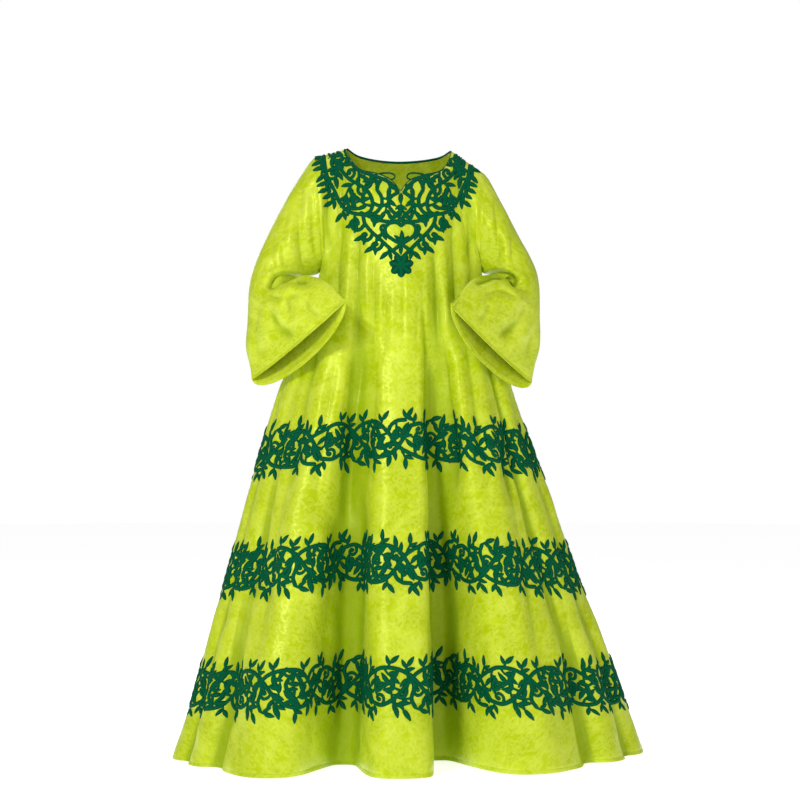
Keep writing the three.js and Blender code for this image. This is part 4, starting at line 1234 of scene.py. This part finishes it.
def on_chest(places):
    """The cloth straight behind each place of the front view, or else the nearest cloth."""
    points = np.empty((len(places), 3))
    normals = np.empty((len(places), 3))
    for k, (x, z) in enumerate(places):
        hit, _, face, _ = chest_tree.ray_cast(Vector((x, -1, z)), Vector((0, 1, 0)))
        if hit is None:
            hit, _, face, _ = chest_tree.find_nearest(Vector((x, -0.03, z)))
        corners = chest_quads[face]
        weights = 1 / (np.linalg.norm(chest_points[corners] - np.array(hit), axis=1) + 1e-5)
        points[k] = hit
        normals[k] = weights @ chest_normals[corners]
    return points, normals / np.linalg.norm(normals, axis=1, keepdims=True)


def yoke_strokes():
    side = drawn(YOKE)
    strokes = [(path * (YOKE_PLACE["right"], 1), half) for path, half in side]
    strokes += [(path * (-1, 1), half) for path, half in side]
    middle = [leaf((0, foot), *shape) for foot, *shape in YOKE_MIDDLE]
    for k in range(YOKE_FLOWER["petals"]):
        lean = -90 + 360 * k / YOKE_FLOWER["petals"]
        middle.append(lobe((0, YOKE_FLOWER["centre"]), lean, YOKE_FLOWER["length"], YOKE_FLOWER["width"]))
    strokes += [(path * CHART, half * CHART) for path, half in middle]
    found = []
    for path, half in strokes:
        path = path + (YOKE_PLACE["middle"], 0)
        hits = [chest_tree.ray_cast(Vector((x, -1, z)), Vector((0, 1, 0)))[0] for x, z in path]
        inside = np.array([hit is not None and hit.y < 0.02 for hit in hits])
        if inside.sum() > 2:
            found.append((path[inside], half[inside]))
    return found


def loop_strokes():
    """The cord loops, left and right, which stand out over the opening of the neck."""
    found = []
    for x, y, *shape in LOOPS:
        path, half = loop((x, y), *shape, LOOP_CORD)
        for side in (-1, YOKE_PLACE["right"]):
            found.append((path * CHART * (side, 1) + (YOKE_PLACE["middle"], 0), half * CHART))
    return found


def before_neck(places):
    """Each place of the front view, at the depth of the nearest cloth."""
    points, normals = on_chest(places)
    points[:, [0, 2]] = places
    return points, normals


yoke = laid_on("yoke_cutwork", yoke_strokes(), on_chest, green)
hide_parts("yoke")
loops = laid_on("neck_loops", loop_strokes(), before_neck, green)

# The neck
# A narrow binding rolls over the cut edge of the neck and down both sides of the slit.
BINDING = {"from": 0.0003, "width": 0.007, "thick": 0.0032, "sides": 10}


def neck_binding():
    """A flat round-edged roll that goes on from the cloth's edge, all round the neck."""
    loop, up, out = [], [], []
    front_span = slice(FRONT["shoulder"], FRONT["columns"] - FRONT["shoulder"] + 1)
    back_span = slice(BACK["shoulder"] + 1, BACK["columns"] - BACK["shoulder"])
    for panel, span in ((front_panel, front_span), (back_panel, back_span)):
        loop.append(panel["grid"][-1, span])
        up.append(panel["grid"][-1, span] - panel["grid"][-2, span])
        out.append(panel["normals"][-1, span])
    loop, up, out = np.vstack(loop), np.vstack(up), np.vstack(out)
    out = (np.roll(out, 1, 0) + 2 * out + np.roll(out, -1, 0)) / 4
    up = (np.roll(up, 1, 0) + 2 * up + np.roll(up, -1, 0)) / 4
    out /= np.linalg.norm(out, axis=1, keepdims=True)
    up -= out * (up * out).sum(1, keepdims=True)
    up /= np.linalg.norm(up, axis=1, keepdims=True)
    turn = np.linspace(0, tau, BINDING["sides"], endpoint=False)
    reach = BINDING["from"] + BINDING["width"] * (1 - np.cos(turn)) / 2
    lift = BINDING["thick"] / 2 * np.sin(turn) - CLOTH / 2
    points = loop[:, None] + up[:, None] * reach[None, :, None] + out[:, None] * lift[None, :, None]
    index = np.arange(points.shape[0] * points.shape[1]).reshape(points.shape[:2])
    over, along = np.roll(index, -1, 1), np.roll(index, -1, 0)
    faces = np.stack([index, along, np.roll(along, -1, 1), over], -1).reshape(-1, 4)
    run = np.cumsum(np.linalg.norm(loop - np.roll(loop, 1, 0), axis=1))
    across = reach - BINDING["width"] / 2
    threads = np.stack(np.broadcast_arrays(run[:, None], across[None, :]), -1)
    return points.reshape(-1, 3), faces.tolist(), threads.reshape(-1, 2)


binding = small_piece("neck_binding", *neck_binding(), green, "applique")
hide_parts("neck_edging")

# The hems
# The hem of the skirt and the two cuffs are turned in and sewn down with a row of stitches
# each, in thread of the cloth's colour.
STITCH = {"length": 0.0034, "pitch": 0.0052, "half": 0.00042}


def stitch_material():
    material, _, shader = new_material("lime_thread")
    shader.inputs["Base Color"].default_value = (0.40, 0.56, 0.004, 1)
    shader.inputs["Roughness"].default_value = 0.6
    return material


lime_thread = stitch_material()


def stitch_row(name, panel, length, up):
    """A row of stitches at a height over the edge of a piece of cloth."""
    strokes = []
    for k in range(int(length / STITCH["pitch"])):
        x = (k + 0.3) * STITCH["pitch"]
        y = up + 0.0002 * sin(k * 2.4)
        path = np.array([(x, y), (x + STITCH["length"] / 2, y + 0.00004), (x + STITCH["length"], y)])
        strokes.append((path, STITCH["half"] * np.array((0.7, 1, 0.7))))
    middle_column = panel["flat"].shape[1] // 2
    lengths = panel["flat"][2, :, 0] - panel["flat"][2, 0, 0]
    heights = panel["flat"][:, middle_column, 1]

    def place_on(places):
        column = np.interp(places[:, 0], lengths, np.arange(len(lengths)))
        row = np.interp(places[:, 1], heights, np.arange(len(heights)))
        return on_panel(panel, column, row)

    return laid_on(name, strokes, place_on, lime_thread, "cloth")


for name, panel in (("front_hem", front_panel), ("back_hem", back_panel), ("left_cuff", sleeve_left),
                    ("right_cuff", sleeve_right)):
    length = float(np.ptp(panel["flat"][2, :, 0]))
    stitch_row(f"{name}_stitches", panel, length, HEM_STITCH["up"])

# The cut of the cloth
# What each sleeve measures flat from its cuff to its armhole, at each place all round its tube.


for sleeve, cuff in ((sleeve_left, "left_cuff"), (sleeve_right, "right_cuff")):
    length = np.linalg.norm(np.diff(sleeve["grid"], axis=0), axis=-1).sum(axis=0)
